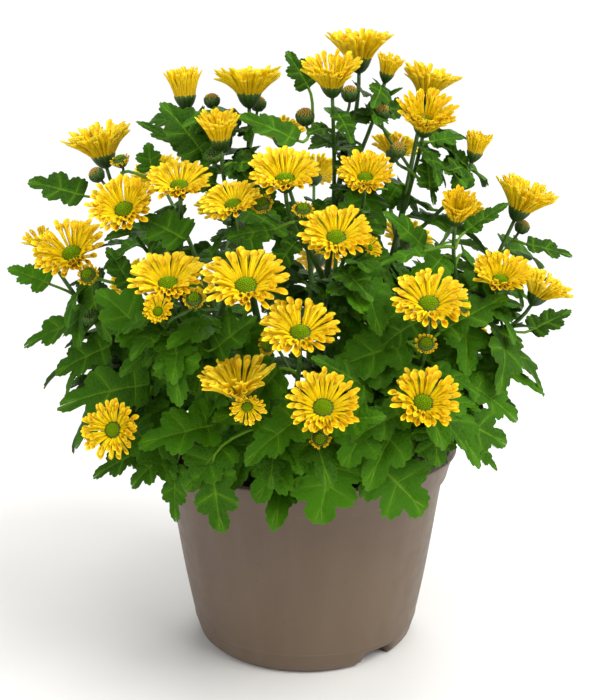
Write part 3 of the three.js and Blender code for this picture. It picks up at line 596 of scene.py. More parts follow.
def leaf_parts(shape, pose, root, form, tone):
    """A blade of two sheets that meet at the edge, and its petiole."""
    along, out, relief, s, t = form
    rows, columns = along.shape
    size = pose.arc / FORM_LENGTH
    aside = out.ravel() * pose.width / 2
    upper = leaf_points(pose, along.ravel(), aside, relief.ravel() * size)
    midrib = np.where(t == 0, MIDRIB_DEEP * (1 - s), 0)
    edge = (t < 1) * (s > 0) * (s < 1)
    sheet = (LEAF_SHEET + midrib) * edge
    lower = leaf_points(pose, along.ravel(), aside, (relief * size - sheet).ravel())
    faces = grid(rows, columns)
    points = np.concatenate([upper, lower])
    faces = np.concatenate([faces[:, ::-1], faces + rows * columns])
    below = np.repeat([0, 1], rows * columns)
    shape.add(points, faces, np.tile(s.ravel(), 2), np.tile(t.ravel(), 2), tone + below)
    end = pose.base - 0.3 * pose.normal + 1.5 * pose.start
    reach = np.linalg.norm(end - root) * 0.35
    away = unit(end - root)
    path = curve(root, unit(away + 0.4 * UP), end, pose.start, reach, 5)
    tube(shape, path, np.linspace(*PETIOLE_R, 6), 6, tone)


# Blooms
FLORET_ROWS = np.array([0, 0.25, 0.5, 0.64, 0.75, 0.84, 0.92, 0.972, 1.0])
FLORET_COLUMNS = 7
LIFTED_TIP = 16  # degrees
MOUTH_LONG = 0.26  # of a floret, over which its tube opens to a spoon
CLOSED, OPEN = 0.97 * np.pi, 1.15  # half the arc of its section, as a tube and as a spoon
STEEPEST = 84
Layer = namedtuple("Layer", "count length rise start")
LAYERS = (
    Layer(22, 0.77, -3, 0.235),
    Layer(21, 0.74, 4, 0.225),
    Layer(18, 0.67, 11, 0.215),
)
BUD_LAYERS = (Layer(15, 0.75, -6, 0.8), Layer(14, 0.6, 8, 0.7))


def florets(shape, place, axis, radius, rise, layers, girth=1.0):
    """Ray florets: tubes that open to spoons, in layers round the disc."""
    first, second = crossways(axis)
    for layer in layers:
        k = layer.count
        wide = min(1, 1.25 - rise / 160)
        turn = (np.arange(k) + random.uniform(-0.3, 0.3, k) + random.random()) * 2 * np.pi / k
        length = radius * layer.length * random.uniform(0.84, 1.08, k)
        steep = np.minimum(rise + layer.rise + random.normal(0, 4, k), STEEPEST)
        curl = random.normal(-26, 8, k)
        tube_half = radius * 0.04 * girth * random.uniform(0.9, 1.1, k)
        spoon = radius * 0.08 * girth * wide * random.uniform(0.8, 1.15, k)
        mouth = random.uniform(0.5, 0.74, k)
        sway = random.normal(0, 0.05, k)
        # Its line, which starts at the disc and goes out and up
        s = FLORET_ROWS[None, :]
        middle = (FLORET_ROWS[1:] + FLORET_ROWS[:-1]) / 2
        slope = steep[:, None] + curl[:, None] * (middle - 0.5) + LIFTED_TIP * smooth(0.82, 1, middle)
        slope = np.radians(slope)
        step = np.diff(FLORET_ROWS) * length[:, None]
        zero = np.zeros((k, 1))
        out = radius * layer.start + np.hstack([zero, np.cumsum(np.cos(slope) * step, axis=1)])
        up = -0.6 + np.hstack([zero, np.cumsum(np.sin(slope) * step, axis=1)])
        tilt = np.hstack([slope, slope[:, -1:]])
        # Its half width along that line
        half = tube_half[:, None] * (0.75 + 0.25 * smooth(0, 0.3, s))
        half = half + (spoon - tube_half)[:, None] * smooth(mouth[:, None] - 0.05, 0.9, s)
        half = half * np.sqrt(np.clip(1 - np.clip((s - 0.87) / 0.13, 0, 1) ** 2, 0.01, 1))
        # Its section, an arc that opens from a tube to a spoon
        opened = smooth(mouth[:, None], mouth[:, None] + MOUTH_LONG, s)
        spread = CLOSED + (OPEN - CLOSED) * opened
        bow = (half / np.sin(np.minimum(spread, np.pi / 2)))[:, :, None]
        angle = spread[:, :, None] * np.linspace(-1, 1, FLORET_COLUMNS)
        lift = bow * (1 - np.cos(angle)) - tube_half[:, None, None]
        aside = bow * np.sin(angle) + (sway * length)[:, None, None] * (s**2)[:, :, None]
        out = out[:, :, None] - lift * np.sin(tilt)[:, :, None]
        up = up[:, :, None] + lift * np.cos(tilt)[:, :, None]
        # Its place round the disc
        c, n = np.cos(turn)[:, None, None], np.sin(turn)[:, None, None]
        x, y = out * c - aside * n, out * n + aside * c
        points = place + x[..., None] * first + y[..., None] * second + up[..., None] * axis
        rows = len(FLORET_ROWS)
        faces = repeated(grid(rows, FLORET_COLUMNS), k, rows * FLORET_COLUMNS)
        flat = np.broadcast_to(np.abs(np.linspace(-1, 1, FLORET_COLUMNS)), angle.shape)
        along = np.broadcast_to(s[:, :, None], angle.shape)
        tone = np.broadcast_to(random.random(k)[:, None, None], angle.shape)
        shape.add(points, faces, along, flat, tone)


def bumps(shape, place, axis, radius, dome, count, tall, slot):
    """The small florets that cover a disc, set by the golden angle."""
    first, second = crossways(axis)
    i = np.arange(count) + 0.5
    far = np.sqrt(i / count)
    turn = np.radians(STEP_ANGLE) * i
    wide = 0.95 * radius / math.sqrt(count)
    middle = place + radius * far[:, None] * (
        np.cos(turn)[:, None] * first + np.sin(turn)[:, None] * second
    ) + (dome * (1 - far**2))[:, None] * axis
    way = axis + (far * dome / radius)[:, None] * 1.6 * (middle - place) / radius
    way /= np.linalg.norm(way, axis=1)[:, None]
    corner = np.arange(6) * np.pi / 3
    ring = np.cos(corner)[:, None] * first + np.sin(corner)[:, None] * second
    low = middle[:, None] + wide * ring - 0.5 * tall * way[:, None]
    high = middle[:, None] + 0.72 * wide * ring + 0.7 * tall * way[:, None]
    top = middle[:, None] + tall * way[:, None]
    points = np.concatenate([low, high, top], axis=1)
    k = np.arange(6)
    ends = np.stack([6 + k, 6 + (k + 1) % 6, np.full(6, 12)], axis=1)
    along = np.concatenate([np.zeros(6), np.full(6, 0.6), [1.0]])
    shape.add(
        points,
        [repeated(grid(2, 6, closed=True), count, 13), repeated(ends, count, 13)],
        np.tile(along, count),
        np.repeat(far, 13),
        np.repeat(0.5 * random.uniform(0.6, 1.4, count), 13),
        slot,
    )


def lathe(shape, place, axis, profile, sides, slot=0, aside=0.0):
    """A turned part from a profile of [radius, height along the axis]."""
    first, second = crossways(axis)
    turn = np.arange(sides) * 2 * np.pi / sides
    ring = np.cos(turn)[:, None] * first + np.sin(turn)[:, None] * second
    points = [place + r * ring + h * axis for r, h in profile]
    along = np.repeat(np.linspace(0, 1, len(profile)), sides)
    shape.add(np.concatenate(points), grid(len(profile), sides, closed=True), along, aside, slot=slot)


def bracts(shape, place, axis, profile, rows):
    """Overlapping bracts that follow a profile of [radius, height], as rings of pointed scales."""
    first, second = crossways(axis)
    profile = np.array(profile, float)
    steps, columns = 6, 5
    u = np.linspace(0, 1, steps)
    for count, begin, end, lift, wide in rows:
        at = begin + (end - begin) * u
        place_on = at * (len(profile) - 1)
        out = np.interp(place_on, np.arange(len(profile)), profile[:, 0]) + lift * (0.3 + 0.7 * u)
        up = np.interp(place_on, np.arange(len(profile)), profile[:, 1])
        half = wide * np.sin(np.pi * np.clip(0.12 + 0.88 * u, 0, 0.985)) ** 0.6
        turn = (np.arange(count) + random.random()) * 2 * np.pi / count
        side = np.linspace(-1, 1, columns)
        angle = turn[:, None, None] + (half / np.maximum(out, 0.5))[None, :, None] * side
        radius = (out[:, None] - 0.28 * lift * side**2)[None]
        points = (
            place
            + (radius * np.cos(angle))[..., None] * first
            + (radius * np.sin(angle))[..., None] * second
            + np.broadcast_to(up[None, :, None], angle.shape)[..., None] * axis
        )
        along = np.broadcast_to(u[None, :, None], angle.shape)
        flat = np.broadcast_to(np.abs(side), angle.shape)
        faces = repeated(grid(steps, columns), count, steps * columns)
        shape.add(points, faces, along, flat, slot=BRACT_SLOT)


# Materials
STUDIO_GLOW = 1.03  # of the pale studio round the plant, near the horizon
STUDIO_TOP = 0.4  # and overhead
STUDIO_RISE = (0.13, 0.4)  # heights of a unit look between which it changes
FLOOR_FADE = (0.7, 2.2)  # metres from the plant over which the floor turns to that glow


def material(name, roughness, **sockets):
    """A new material's wiring, with what is the same all over it set on the shader."""
    made = bpy.data.materials.new(name)
    made.use_nodes = True
    nodes = made.node_tree.nodes
    shader = nodes["Principled BSDF"]
    shader.inputs["Roughness"].default_value = roughness
    for socket, value in sockets.items():
        shader.inputs[socket.replace("_", " ")].default_value = value
    return Weave(nodes, made.node_tree.links, shader, made)


def srgb(code):
    """A colour from its six-digit code."""
    parts = [int(code[i:i + 2], 16) / 255 for i in (0, 2, 4)]
    return [c / 12.92 if c <= 0.04045 else ((c + 0.055) / 1.055) ** 2.4 for c in parts] + [1.0]


class Weave:
    """Short hands for wiring a material's nodes."""

    def __init__(self, nodes, links, shader=None, made=None):
        self.nodes, self.links, self.shader, self.made = nodes, links, shader, made

    def put(self, socket, value):
        if isinstance(value, bpy.types.NodeSocket):
            self.links.new(value, socket)
        else:
            socket.default_value = value

    def grain(self):
        read = self.nodes.new("ShaderNodeAttribute")
        read.attribute_name = "grain"
        parts = self.nodes.new("ShaderNodeSeparateXYZ")
        self.links.new(read.outputs["Vector"], parts.inputs[0])
        return parts.outputs[:3]

    def math(self, operation, a, b=0.0):
        node = self.nodes.new("ShaderNodeMath")
        node.operation = operation
        self.put(node.inputs[0], a)
        self.put(node.inputs[1], b)
        return node.outputs[0]

    def ramp(self, value, low, high, start=0.0, end=1.0):
        node = self.nodes.new("ShaderNodeMapRange")
        node.interpolation_type = "SMOOTHSTEP"
        for socket, given in zip(node.inputs[:5], (value, low, high, start, end)):
            self.put(socket, given)
        return node.outputs[0]

    def mix(self, share, a, b):
        node = self.nodes.new("ShaderNodeMix")
        node.data_type = "RGBA"
        self.put(node.inputs[0], share)
        self.put(node.inputs[6], a)
        self.put(node.inputs[7], b)
        return node.outputs[2]

    def stain(self, tint, where, strength, code):
        """A tint with another over it, where and as strongly as said."""
        return self.mix(self.both(where, strength), tint, srgb(code))

    def place(self, scale=(1, 1, 1)):
        where = self.nodes.new("ShaderNodeTexCoord")
        sized = self.nodes.new("ShaderNodeMapping")
        sized.inputs["Scale"].default_value = scale
        self.links.new(where.outputs["Object"], sized.inputs["Vector"])
        return sized.outputs[0]

    def noise(self, scale, detail=3.0, stretch=(1, 1, 1)):
        node = self.nodes.new("ShaderNodeTexNoise")
        node.inputs["Scale"].default_value = scale
        node.inputs["Detail"].default_value = detail
        self.links.new(self.place(stretch), node.inputs["Vector"])
        return node.outputs[0]

    def cells(self, scale, feature="DISTANCE_TO_EDGE"):
        node = self.nodes.new("ShaderNodeTexVoronoi")
        node.feature = feature
        node.inputs["Scale"].default_value = scale
        self.links.new(self.place(), node.inputs["Vector"])
        return node.outputs["Distance"]

    def both(self, a, b):
        return self.math("MULTIPLY", a, b)

    def drive(self, name, value):
        self.links.new(value, self.shader.inputs[name])

    def done(self, tint, height, strength, distance):
        """The material, coloured by a tint and given relief by a height."""
        node = self.nodes.new("ShaderNodeBump")
        node.inputs["Strength"].default_value = strength
        node.inputs["Distance"].default_value = distance
        self.links.new(height, node.inputs["Height"])
        self.drive("Normal", node.outputs[0])
        self.drive("Base Color", tint)
        return self.made


def petal_material():
    """Lemon tubes with painted shade on their lower flanks near the base, orange throats that are
    partly the petal's own colour and partly painted shade, and pale rims that are partly its own
    colour and partly painted highlight.
    """
    w = material("petal", 0.55, Specular_IOR_Level=0.2, Subsurface_Weight=0.1)
    w.shader.inputs["Subsurface Radius"].default_value = (0.003, 0.0026, 0.0006)
    w.shader.inputs["Subsurface Scale"].default_value = 0.4
    along, aside, tone = w.grain()
    # Painted shade: darker underside of each tube towards its base, where the petals shade each
    # other.
    flank_shade = w.both(w.ramp(aside, 0.62, 0.35), w.ramp(along, 0.7, 0.5))
    # Orange inside the spoon's mouth: partly the petal's own colour, partly painted shade.
    throat_tint_and_shade = w.both(w.ramp(along, 0.6, 0.8), w.ramp(aside, 0.75, 0.2))
    throat_tint_and_shade = w.both(throat_tint_and_shade, w.ramp(along, 0.97, 0.84))
    # Paler tips and spoon edges: partly the petal's own colour, partly painted highlight.
    edge = w.both(w.ramp(along, 0.58, 0.75), w.ramp(aside, 0.7, 0.97))
    rim_tint_and_highlight = w.math("MAXIMUM", w.ramp(along, 0.93, 0.99), edge)
    vein = w.noise(900, 2.0)
    tint = w.mix(w.ramp(along, 0.0, 0.5), srgb("EACA06"), srgb("F6DC10"))
    tint = w.stain(tint, tone, 0.5, "EECC08")
    # The next three: painted shade on the flanks, orange throats with painted shade, pale rims with
    # painted highlight.
    tint = w.stain(tint, flank_shade, 0.6, "B88C00")
    tint = w.stain(tint, throat_tint_and_shade, 0.7, "DE9E04")
    tint = w.stain(tint, rim_tint_and_highlight, 0.85, "F6E850")
    tint = w.stain(tint, w.ramp(vein, 0.35, 0.7), 0.25, "E4B804")
    return w.done(tint, vein, 0.25, 0.0004)


def leaf_material():
    """Blades with pale ribs on the lobes' middles, painted highlights along the lobes and midrib, a
    fine net, and a duller underside.
    """
    w = material("leaf", 0.58, Specular_IOR_Level=0.08)
    along, aside, tone = w.grain()
    under = w.math("GREATER_THAN", tone, 1.0)
    near = None
    for centre, _, _ in LOBES:
        away = w.math("ABSOLUTE", w.math("SUBTRACT", along, centre))
        near = away if near is None else w.math("MINIMUM", near, away)
    lateral = w.both(w.ramp(near, 0.012, 0.002), w.ramp(aside, 1.0, 0.2))
    vein = w.math("MAXIMUM", lateral, w.ramp(aside, 0.065, 0.02))
    # Painted highlight: lighter green along the lobes' middles and the midrib.
    glow = w.math("MAXIMUM", w.ramp(near, 0.07, 0.0), w.ramp(aside, 0.25, 0.0))
    net = w.cells(420)
    blade = w.mix(w.math("SUBTRACT", tone, under), srgb("1D3704"), srgb("3A6E02"))
    blade = w.stain(blade, w.ramp(w.noise(60, 4.0), 0.35, 0.7), 0.45, "2A5304")
    # Painted highlight over the lobes' middles and midrib.
    blade = w.stain(blade, glow, 0.45, "4A7C08")
    blade = w.stain(blade, w.ramp(net, 0.12, 0.02), 0.25, "466E12")
    blade = w.stain(blade, vein, 0.55, "6C9428")
    blade = w.stain(blade, w.ramp(aside, 0.97, 1.0), 0.4, "6C8A2C")
    blade = w.stain(blade, under, 0.4, "53703A")
    height = w.math("SUBTRACT", w.both(net, 1.2), w.both(vein, 0.5))
    return w.done(blade, height, 0.5, 0.0011)


def stalk_material():
    w = material("stalk", 0.5, Specular_IOR_Level=0.4)
    streak = w.noise(500, 3.0, (1, 1, 0.12))
    green = w.mix(w.ramp(streak, 0.3, 0.7), srgb("2A4A08"), srgb("456A14"))
    green = w.stain(green, w.grain()[2], 0.5, "29440C")
    return w.done(green, streak, 0.3, 0.0005)


def bract_material():
    w = material("bract", 0.55, Specular_IOR_Level=0.35)
    along, aside, _ = w.grain()
    speck = w.noise(800, 3.0)
    edge = w.math("MAXIMUM", w.ramp(aside, 0.7, 1.0), w.ramp(along, 0.8, 1.0))
    green = w.mix(w.ramp(along, 0.2, 1.0), srgb("1E3806"), srgb("3C5E12"))
    green = w.stain(green, edge, 0.45, "66782E")
    green = w.stain(green, w.ramp(speck, 0.4, 0.7), 0.35, "223A0C")
    return w.done(green, speck, 0.4, 0.0004)


def disc_material():
    w = material("disc", 0.6, Specular_IOR_Level=0.08)
    along, aside, tone = w.grain()
    green = w.mix(w.ramp(along, 0.1, 1.0), srgb("3E6400"), srgb("76A002"))
    green = w.mix(w.ramp(aside, 0.82, 1.0), green, srgb("3C5800"))
    green = w.stain(green, tone, 0.4, "8C9C06")
    return w.done(green, w.noise(1500, 2.0), 0.3, 0.0003)


def bud_tip_material():
    w = material("bud_tip", 0.55, Specular_IOR_Level=0.3)
    along, aside, tone = w.grain()
    tint = w.mix(w.ramp(along, 0.0, 1.0), srgb("5C4E0C"), srgb("B89C3C"))
    tint = w.mix(w.ramp(aside, 0.7, 0.1), tint, srgb("9A6A28"))
    tint = w.stain(tint, tone, 0.5, "C8B254")
    return w.done(tint, w.noise(1200, 2.0), 0.3, 0.0003)


def pot_material():
    """Moulded plastic with faint upright streaks and a few dark flecks."""
    w = material("pot_plastic", 0.46, Specular_IOR_Level=0.4)
    streak = w.noise(60, 3.0, (1, 1, 0.06))
    tint = w.mix(w.ramp(w.noise(9, 2.0), 0.3, 0.7), srgb("5C4B3E"), srgb("63523F"))
    tint = w.stain(tint, w.ramp(streak, 0.35, 0.65), 0.35, "6A594B")
    tint = w.stain(tint, w.ramp(w.cells(75, "F1"), 0.09, 0.03), 0.35, "4A3B30")
    w.drive("Roughness", w.ramp(w.noise(120, 3.0), 0.2, 0.8, 0.4, 0.54))
    height = w.math("ADD", w.both(w.noise(1400, 3.0), 0.3), streak)
    return w.done(tint, height, 0.18, 0.0006)


def soil_material():
    w = material("soil", 0.95, Specular_IOR_Level=0.15)
    lump = w.noise(260, 6.0)
    tint = w.mix(w.ramp(lump, 0.3, 0.7), srgb("15100B"), srgb("4A382A"))
    tint = w.stain(tint, w.grain()[2], 0.35, "6A5038")
    return w.done(tint, lump, 0.9, 0.003)


def floor_material():
    """Pale paper, which further out glows as the studio behind it does, so that no edge shows."""
    w = material("floor", 0.6, Specular_IOR_Level=0.1)
    paper = w.mix(w.ramp(w.noise(3, 2.0), 0.3, 0.7), srgb("E2E1DF"), srgb("E6E5E3"))
    place = w.nodes.new("ShaderNodeSeparateXYZ")
    w.links.new(w.place(), place.inputs[0])
    squares = [w.math("POWER", place.outputs[i], 2.0) for i in (0, 1)]
    share = w.ramp(w.math("SQRT", w.math("ADD", *squares)), *FLOOR_FADE)
    w.drive("Base Color", w.mix(share, paper, srgb("000000")))
    w.drive("Emission Strength", w.both(share, STUDIO_GLOW))
    w.shader.inputs["Emission Color"].default_value = (1, 1, 1, 1)
    return w.made


PETAL, LEAF, STALK = petal_material(), leaf_material(), stalk_material()
BRACT, DISC, BUD_TIP = bract_material(), disc_material(), bud_tip_material()
POT, SOIL, FLOOR = pot_material(), soil_material(), floor_material()


# Making the pieces
BRACT_SLOT, DISC_SLOT, TIP_SLOT = 1, 2, 3  # of a piece whose slot 0 is the stalks
LEAST_FULL = 14  # radius over which a bloom has its third layer of petals


def head(shape, place, axis, radius):
    """Bract cup and disc under and inside a bloom's petals."""
    low = -CUP_DEPTH * radius - RING_THICK
    cup = [
        (STALK_R, low - 0.8), (0.13 * radius, low + 0.4), (0.22 * radius, 0.55 * low),
        (0.27 * radius, -0.8), (0.27 * radius, 0.6), (0.18 * radius, 0.9),
    ]
    lathe(shape, place, axis, cup, 16, slot=BRACT_SLOT, aside=0.3)
    scales = [(11, 0.1, 0.72, 0.4, 0.075 * radius), (12, 0.25, 0.86, 0.6, 0.08 * radius)]
    bracts(shape, place, axis, cup, scales)
    disc, wide, dome = place + axis * 0.8, DISC_WIDE * radius, DISC_DOME * radius
    profile = [(wide, -0.8), (wide * 0.98, 0.1), (0.1, dome)]
    lathe(shape, disc, axis, profile, 16, slot=DISC_SLOT, aside=0.5)
    bumps(shape, disc, axis, wide, dome, 75, 0.35, DISC_SLOT)


def make_bloom(bloom):
    shape = Shape()
    layers = LAYERS if bloom.radius > LEAST_FULL else LAYERS[:2]
    florets(shape, bloom.place, bloom.axis, bloom.radius, bloom.rise, layers)
    piece = shape.build(f"petals_{bloom.name[-2:]}", [PETAL], "petals")
    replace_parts(piece, bloom.name)


def make_bud(shape, gold, place, axis, diameter, kind):
    r = diameter / 2
    if kind == "ring":
        body = [(0.55, -0.8), (0.8, -0.35), (0.8, 0), (0.6, 0.3)]
    else:
        body = [(0.62, -0.8), (0.98, -0.25), (0.98, 0.25), (0.8, 0.55)]
    body = [(BUD_NECK_R, -0.95 * r), *((wide * r, high * r) for wide, high in body)]
    lathe(shape, place, axis, body, 14, slot=BRACT_SLOT, aside=0.2)
    scales = [(9, 0.1, 0.8, 0.35, 0.36 * r), (10, 0.35, 1.0, 0.6, 0.36 * r)]
    bracts(shape, place, axis, body, scales)
    if kind == "ring":
        florets(gold, place - axis * 0.35 * r, axis, r, 62, BUD_LAYERS, girth=2.6)
        bumps(shape, place + axis * 0.35 * r, axis, 0.6 * r, 0.12 * r, 36, 0.4, DISC_SLOT)
    elif kind == "tips":
        bumps(shape, place + axis * 0.5 * r, axis, 0.8 * r, 0.36 * r, 44, 0.8, TIP_SLOT)
    else:
        bumps(shape, place + axis * 0.5 * r, axis, 0.75 * r, 0.25 * r, 22, 0.6, BRACT_SLOT)


FORMS = [leaf_form() for _ in range(LEAF_FORMS)]
blooms = [read_bloom(f"bloom_{i + 1:02d}") for i in range(sum(stem.blooms for stem in STEMS))]

FINER = 5  # steps of a line as it is seen, for each step of the part's source
BUD_FINE = 8  # steps of a bud's stalk as it is seen


class Growth:
    """A stem of the plant with the lines of its stalks and the leaves placed on it."""

    def __init__(self, stem, number, own):
        self.stem, self.blooms = stem, own
        self.base, self.lines = stem_lines(stem, own)
        _, self.fine = stem_lines(stem, own, FINER)
        self.buds = []
        for place, way, diameter, kind in BUDS.get(stem.name, []):
            place, axis = seen(*place), facing(*way)
            foot = place - axis * BUD_NECK * diameter
            root = nearest(self.lines, foot - axis * BUD_DROP)
            reach = STEM_BEND * np.linalg.norm(foot - root)
            self.lines.append(curve(root, axis, foot, axis, reach, BUD_STEPS))
            line = curve(root, axis, foot, axis, reach, BUD_FINE)
            self.buds.append((line, place, axis, diameter, kind))
        points = corners(stem.name)
        tree = KDTree(len(points))
        for i, point in enumerate(points):
            tree.insert(point, i)
        tree.balance()
        wanted = [*chosen_leaves(stem.name), *rule_leaves(stem, number, self.lines[0])]
        self.poses = [placed(l, tree) for l in wanted]
        self.roots = [self.root(pose) for pose in self.poses]

    def root(self, pose):
        return nearest(self.lines, pose.base - pose.start * PETIOLE_LENGTH * pose.arc)


growths = []
for number, stem in enumerate(STEMS):
    at = sum(s.blooms for s in STEMS[:number])
    growths.append(Growth(stem, number, blooms[at:at + stem.blooms]))

# More leaves, so that the plant is as full as the real one. Each hangs from a stalk, stays in
# the part's box, and keeps off the blooms and the leaves that are there.
FILL_LEAVES = 370
FILL_TRIES = 16000
FILL_REACH = 150  # from the plant's axis
FILL_LENGTH = (28, 54)
FILL_SHRINK = 0.4 / 250  # of the length, for each millimetre above the soil
FILL_APART = 8
BLOOM_CLEAR = 0.95  # of a bloom's width, which a leaf stays out of
BLOOM_ABOVE = 0.9  # radii over its petals that are clear too
IN_VIEW = 0.85  # of a bloom's width that no leaf hides from the front

highest = cad_box[1][2] / MM
heads = np.array([b.place for b in blooms])
head_axes = np.array([b.axis for b in blooms])
head_radii = np.array([b.radius for b in blooms])
head_rise = np.radians([b.rise for b in blooms])
head_wide = head_radii * (RING_OUTER + (1 - RING_OUTER) * np.cos(head_rise))
head_high = head_radii * (1 - RING_OUTER) * np.sin(head_rise)
eye = np.array([0, -EYE["back"], EYE["height"]], float)
to_heads = heads + 0.5 * head_high[:, None] * head_axes - eye


def crosses_bloom(points):
    """Whether a leaf's points come into a bloom, or close before its face."""
    away = points[:, None] - heads
    up = (away * head_axes).sum(axis=2)
    out = np.linalg.norm(away - up[..., None] * head_axes, axis=2)
    high = head_high + BLOOM_ABOVE * head_radii
    return ((up > -0.15 * head_radii) & (up < high) & (out < BLOOM_CLEAR * head_wide)).any()


def hides_bloom(points):
    """Whether a leaf's points lie between the place the plant is seen from and a bloom."""
    away = points[:, None] - eye
    share = (away * to_heads).sum(axis=2) / (to_heads**2).sum(axis=1)
    aside = np.linalg.norm(away - share[..., None] * to_heads, axis=2)
    return ((share < 1) & (aside < IN_VIEW * head_wide * share)).any()


def sample(pose):
    along = np.repeat([0.15, 0.4, 0.65, 0.9], 3)
    out = np.tile([-0.7, 0, 0.7], 4) * pose.width / 2
    return leaf_points(pose, along, out, np.zeros(12))


def fill_leaves():
    """Add the leaves to the stems, by chance."""
    taken = [sample(pose)[4] for growth in growths for pose in growth.poses]
    made = 0
    for _ in range(FILL_TRIES):
        growth = growths[random.integers(len(growths))]
        line = growth.fine[random.integers(len(growth.fine))]
        at = along_line(line, random.uniform(0.05, 0.96) ** 0.65)
        if at[2] < SOIL_TOP + 6:
            continue
        away = math.degrees(math.atan2(at[0], -at[1]))
        azimuth = away + random.normal(0, 75)
        length = random.uniform(*FILL_LENGTH) * (1 - FILL_SHRINK * (at[2] - SOIL_TOP))
        base = at + facing(azimuth, random.uniform(0, 45)) * 0.25 * length
        tip = base + facing(azimuth, random.uniform(-60, 15)) * length
        width = length * random.uniform(0.6, 0.74)
        face = UP + random.uniform(0.5, 1.3) * facing(away, 0)
        pose = leaf_pose(Leaf(base, tip, width, face, random.uniform(24, 60)))
        points = sample(pose)
        far = np.hypot(points[:, 0], points[:, 1])
        inside = (points[:, 2] < highest - 2).all() and (far < FILL_REACH).all()
        in_pot = (points[:, 2] < POT_HEIGHT + 3) & (far < RIM_RADIUS + 5)
        if not inside or in_pot.any() or crosses_bloom(points) or hides_bloom(points):
            continue
        middle = points[4]
        if min(np.linalg.norm(middle - other) for other in taken) < FILL_APART:
            continue
        taken.append(middle)
        growth.poses.append(pose)
        growth.roots.append(at)
        made += 1
        if made == FILL_LEAVES:
            break


def make_leaves(growth):
    green = Shape()
    for pose, root in zip(growth.poses, growth.roots):
        tone = 0.55 - (pose.base[2] - 200) / 500 + random.normal(0, 0.22)
        form = FORMS[random.integers(LEAF_FORMS)]
        leaf_parts(green, pose, root, form, float(np.clip(tone, 0.02, 0.98)))
    piece = green.build(f"leaves_{growth.stem.name[5:]}", [LEAF], "foliage")
    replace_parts(piece, growth.stem.name)


def make_stalks(growth):
    """A stem's stalks with all that they carry but leaves and petals, and its buds' petals."""
    name = growth.stem.name
    stalks, gold = Shape(), Shape()
    main = np.vstack([growth.base, growth.fine[0]])
    fork = 1 + STEM_STEPS * FINER
    radii = np.concatenate([
        np.linspace(STEM_FOOT_R, STEM_FORK_R, fork + 1),
        np.linspace(STEM_FORK_R, STALK_R, len(main) - fork)[1:],
    ])
    tube(stalks, main, radii, 10)
    for line in growth.fine[1:]:
        tube(stalks, line, np.linspace(BRANCH_R, STALK_R, len(line)), 8)
    for line, place, axis, diameter, kind in growth.buds:
        tube(stalks, line, np.linspace(BUD_STALK_R, BUD_NECK_R, len(line)), 7)
        make_bud(stalks, gold, place, axis, diameter, kind)
    for b in growth.blooms:
        head(stalks, b.place, b.axis, b.radius)
    piece = stalks.build(f"stalks_{name[5:]}", [STALK, BRACT, DISC, BUD_TIP], "foliage")
    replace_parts(piece, name)
    if gold.count:
        piece = gold.build(f"bud_petals_{name[5:]}", [PETAL], "petals")
        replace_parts(piece, name)


fill_leaves()
for growth in growths:
    make_leaves(growth)
    make_stalks(growth)
for bloom in blooms:
    make_bloom(bloom)


# Pot and soil
POT_SIDES = 150
POT_ROUND = 0.7  # of the pot's edges
WALL_BULGE = 1.2
SOIL_RINGS, SOIL_SIDES = 34, 110
SWELL, LUMPS = 3.4, 1.4  # heights of the soil's slow and quick unevenness
CRUMBS = 480
CRUMB_SIZE = (0.7, 2.6)
CRUMB_SIDES = 8
CRUMB_RINGS = (-1.2, -0.5, 0.3, 1.0, 1.5)  # latitudes


def rounded(profile, reach, steps=4):
    """A profile with each corner but the ends rounded off."""
    points = [np.array(profile[0], float)]
    for before, at, after in zip(profile, profile[1:], profile[2:]):
        before, at, after = (np.array(p, float) for p in (before, at, after))
        r = min(reach, np.linalg.norm(before - at) / 2.2, np.linalg.norm(after - at) / 2.2)
        a, b = at + unit(before - at) * r, at + unit(after - at) * r
        t = np.linspace(0, 1, steps)[:, None]
        points.extend((1 - t) ** 2 * a + 2 * t * (1 - t) * at + t**2 * b)
    return [*points, np.array(profile[-1], float)]


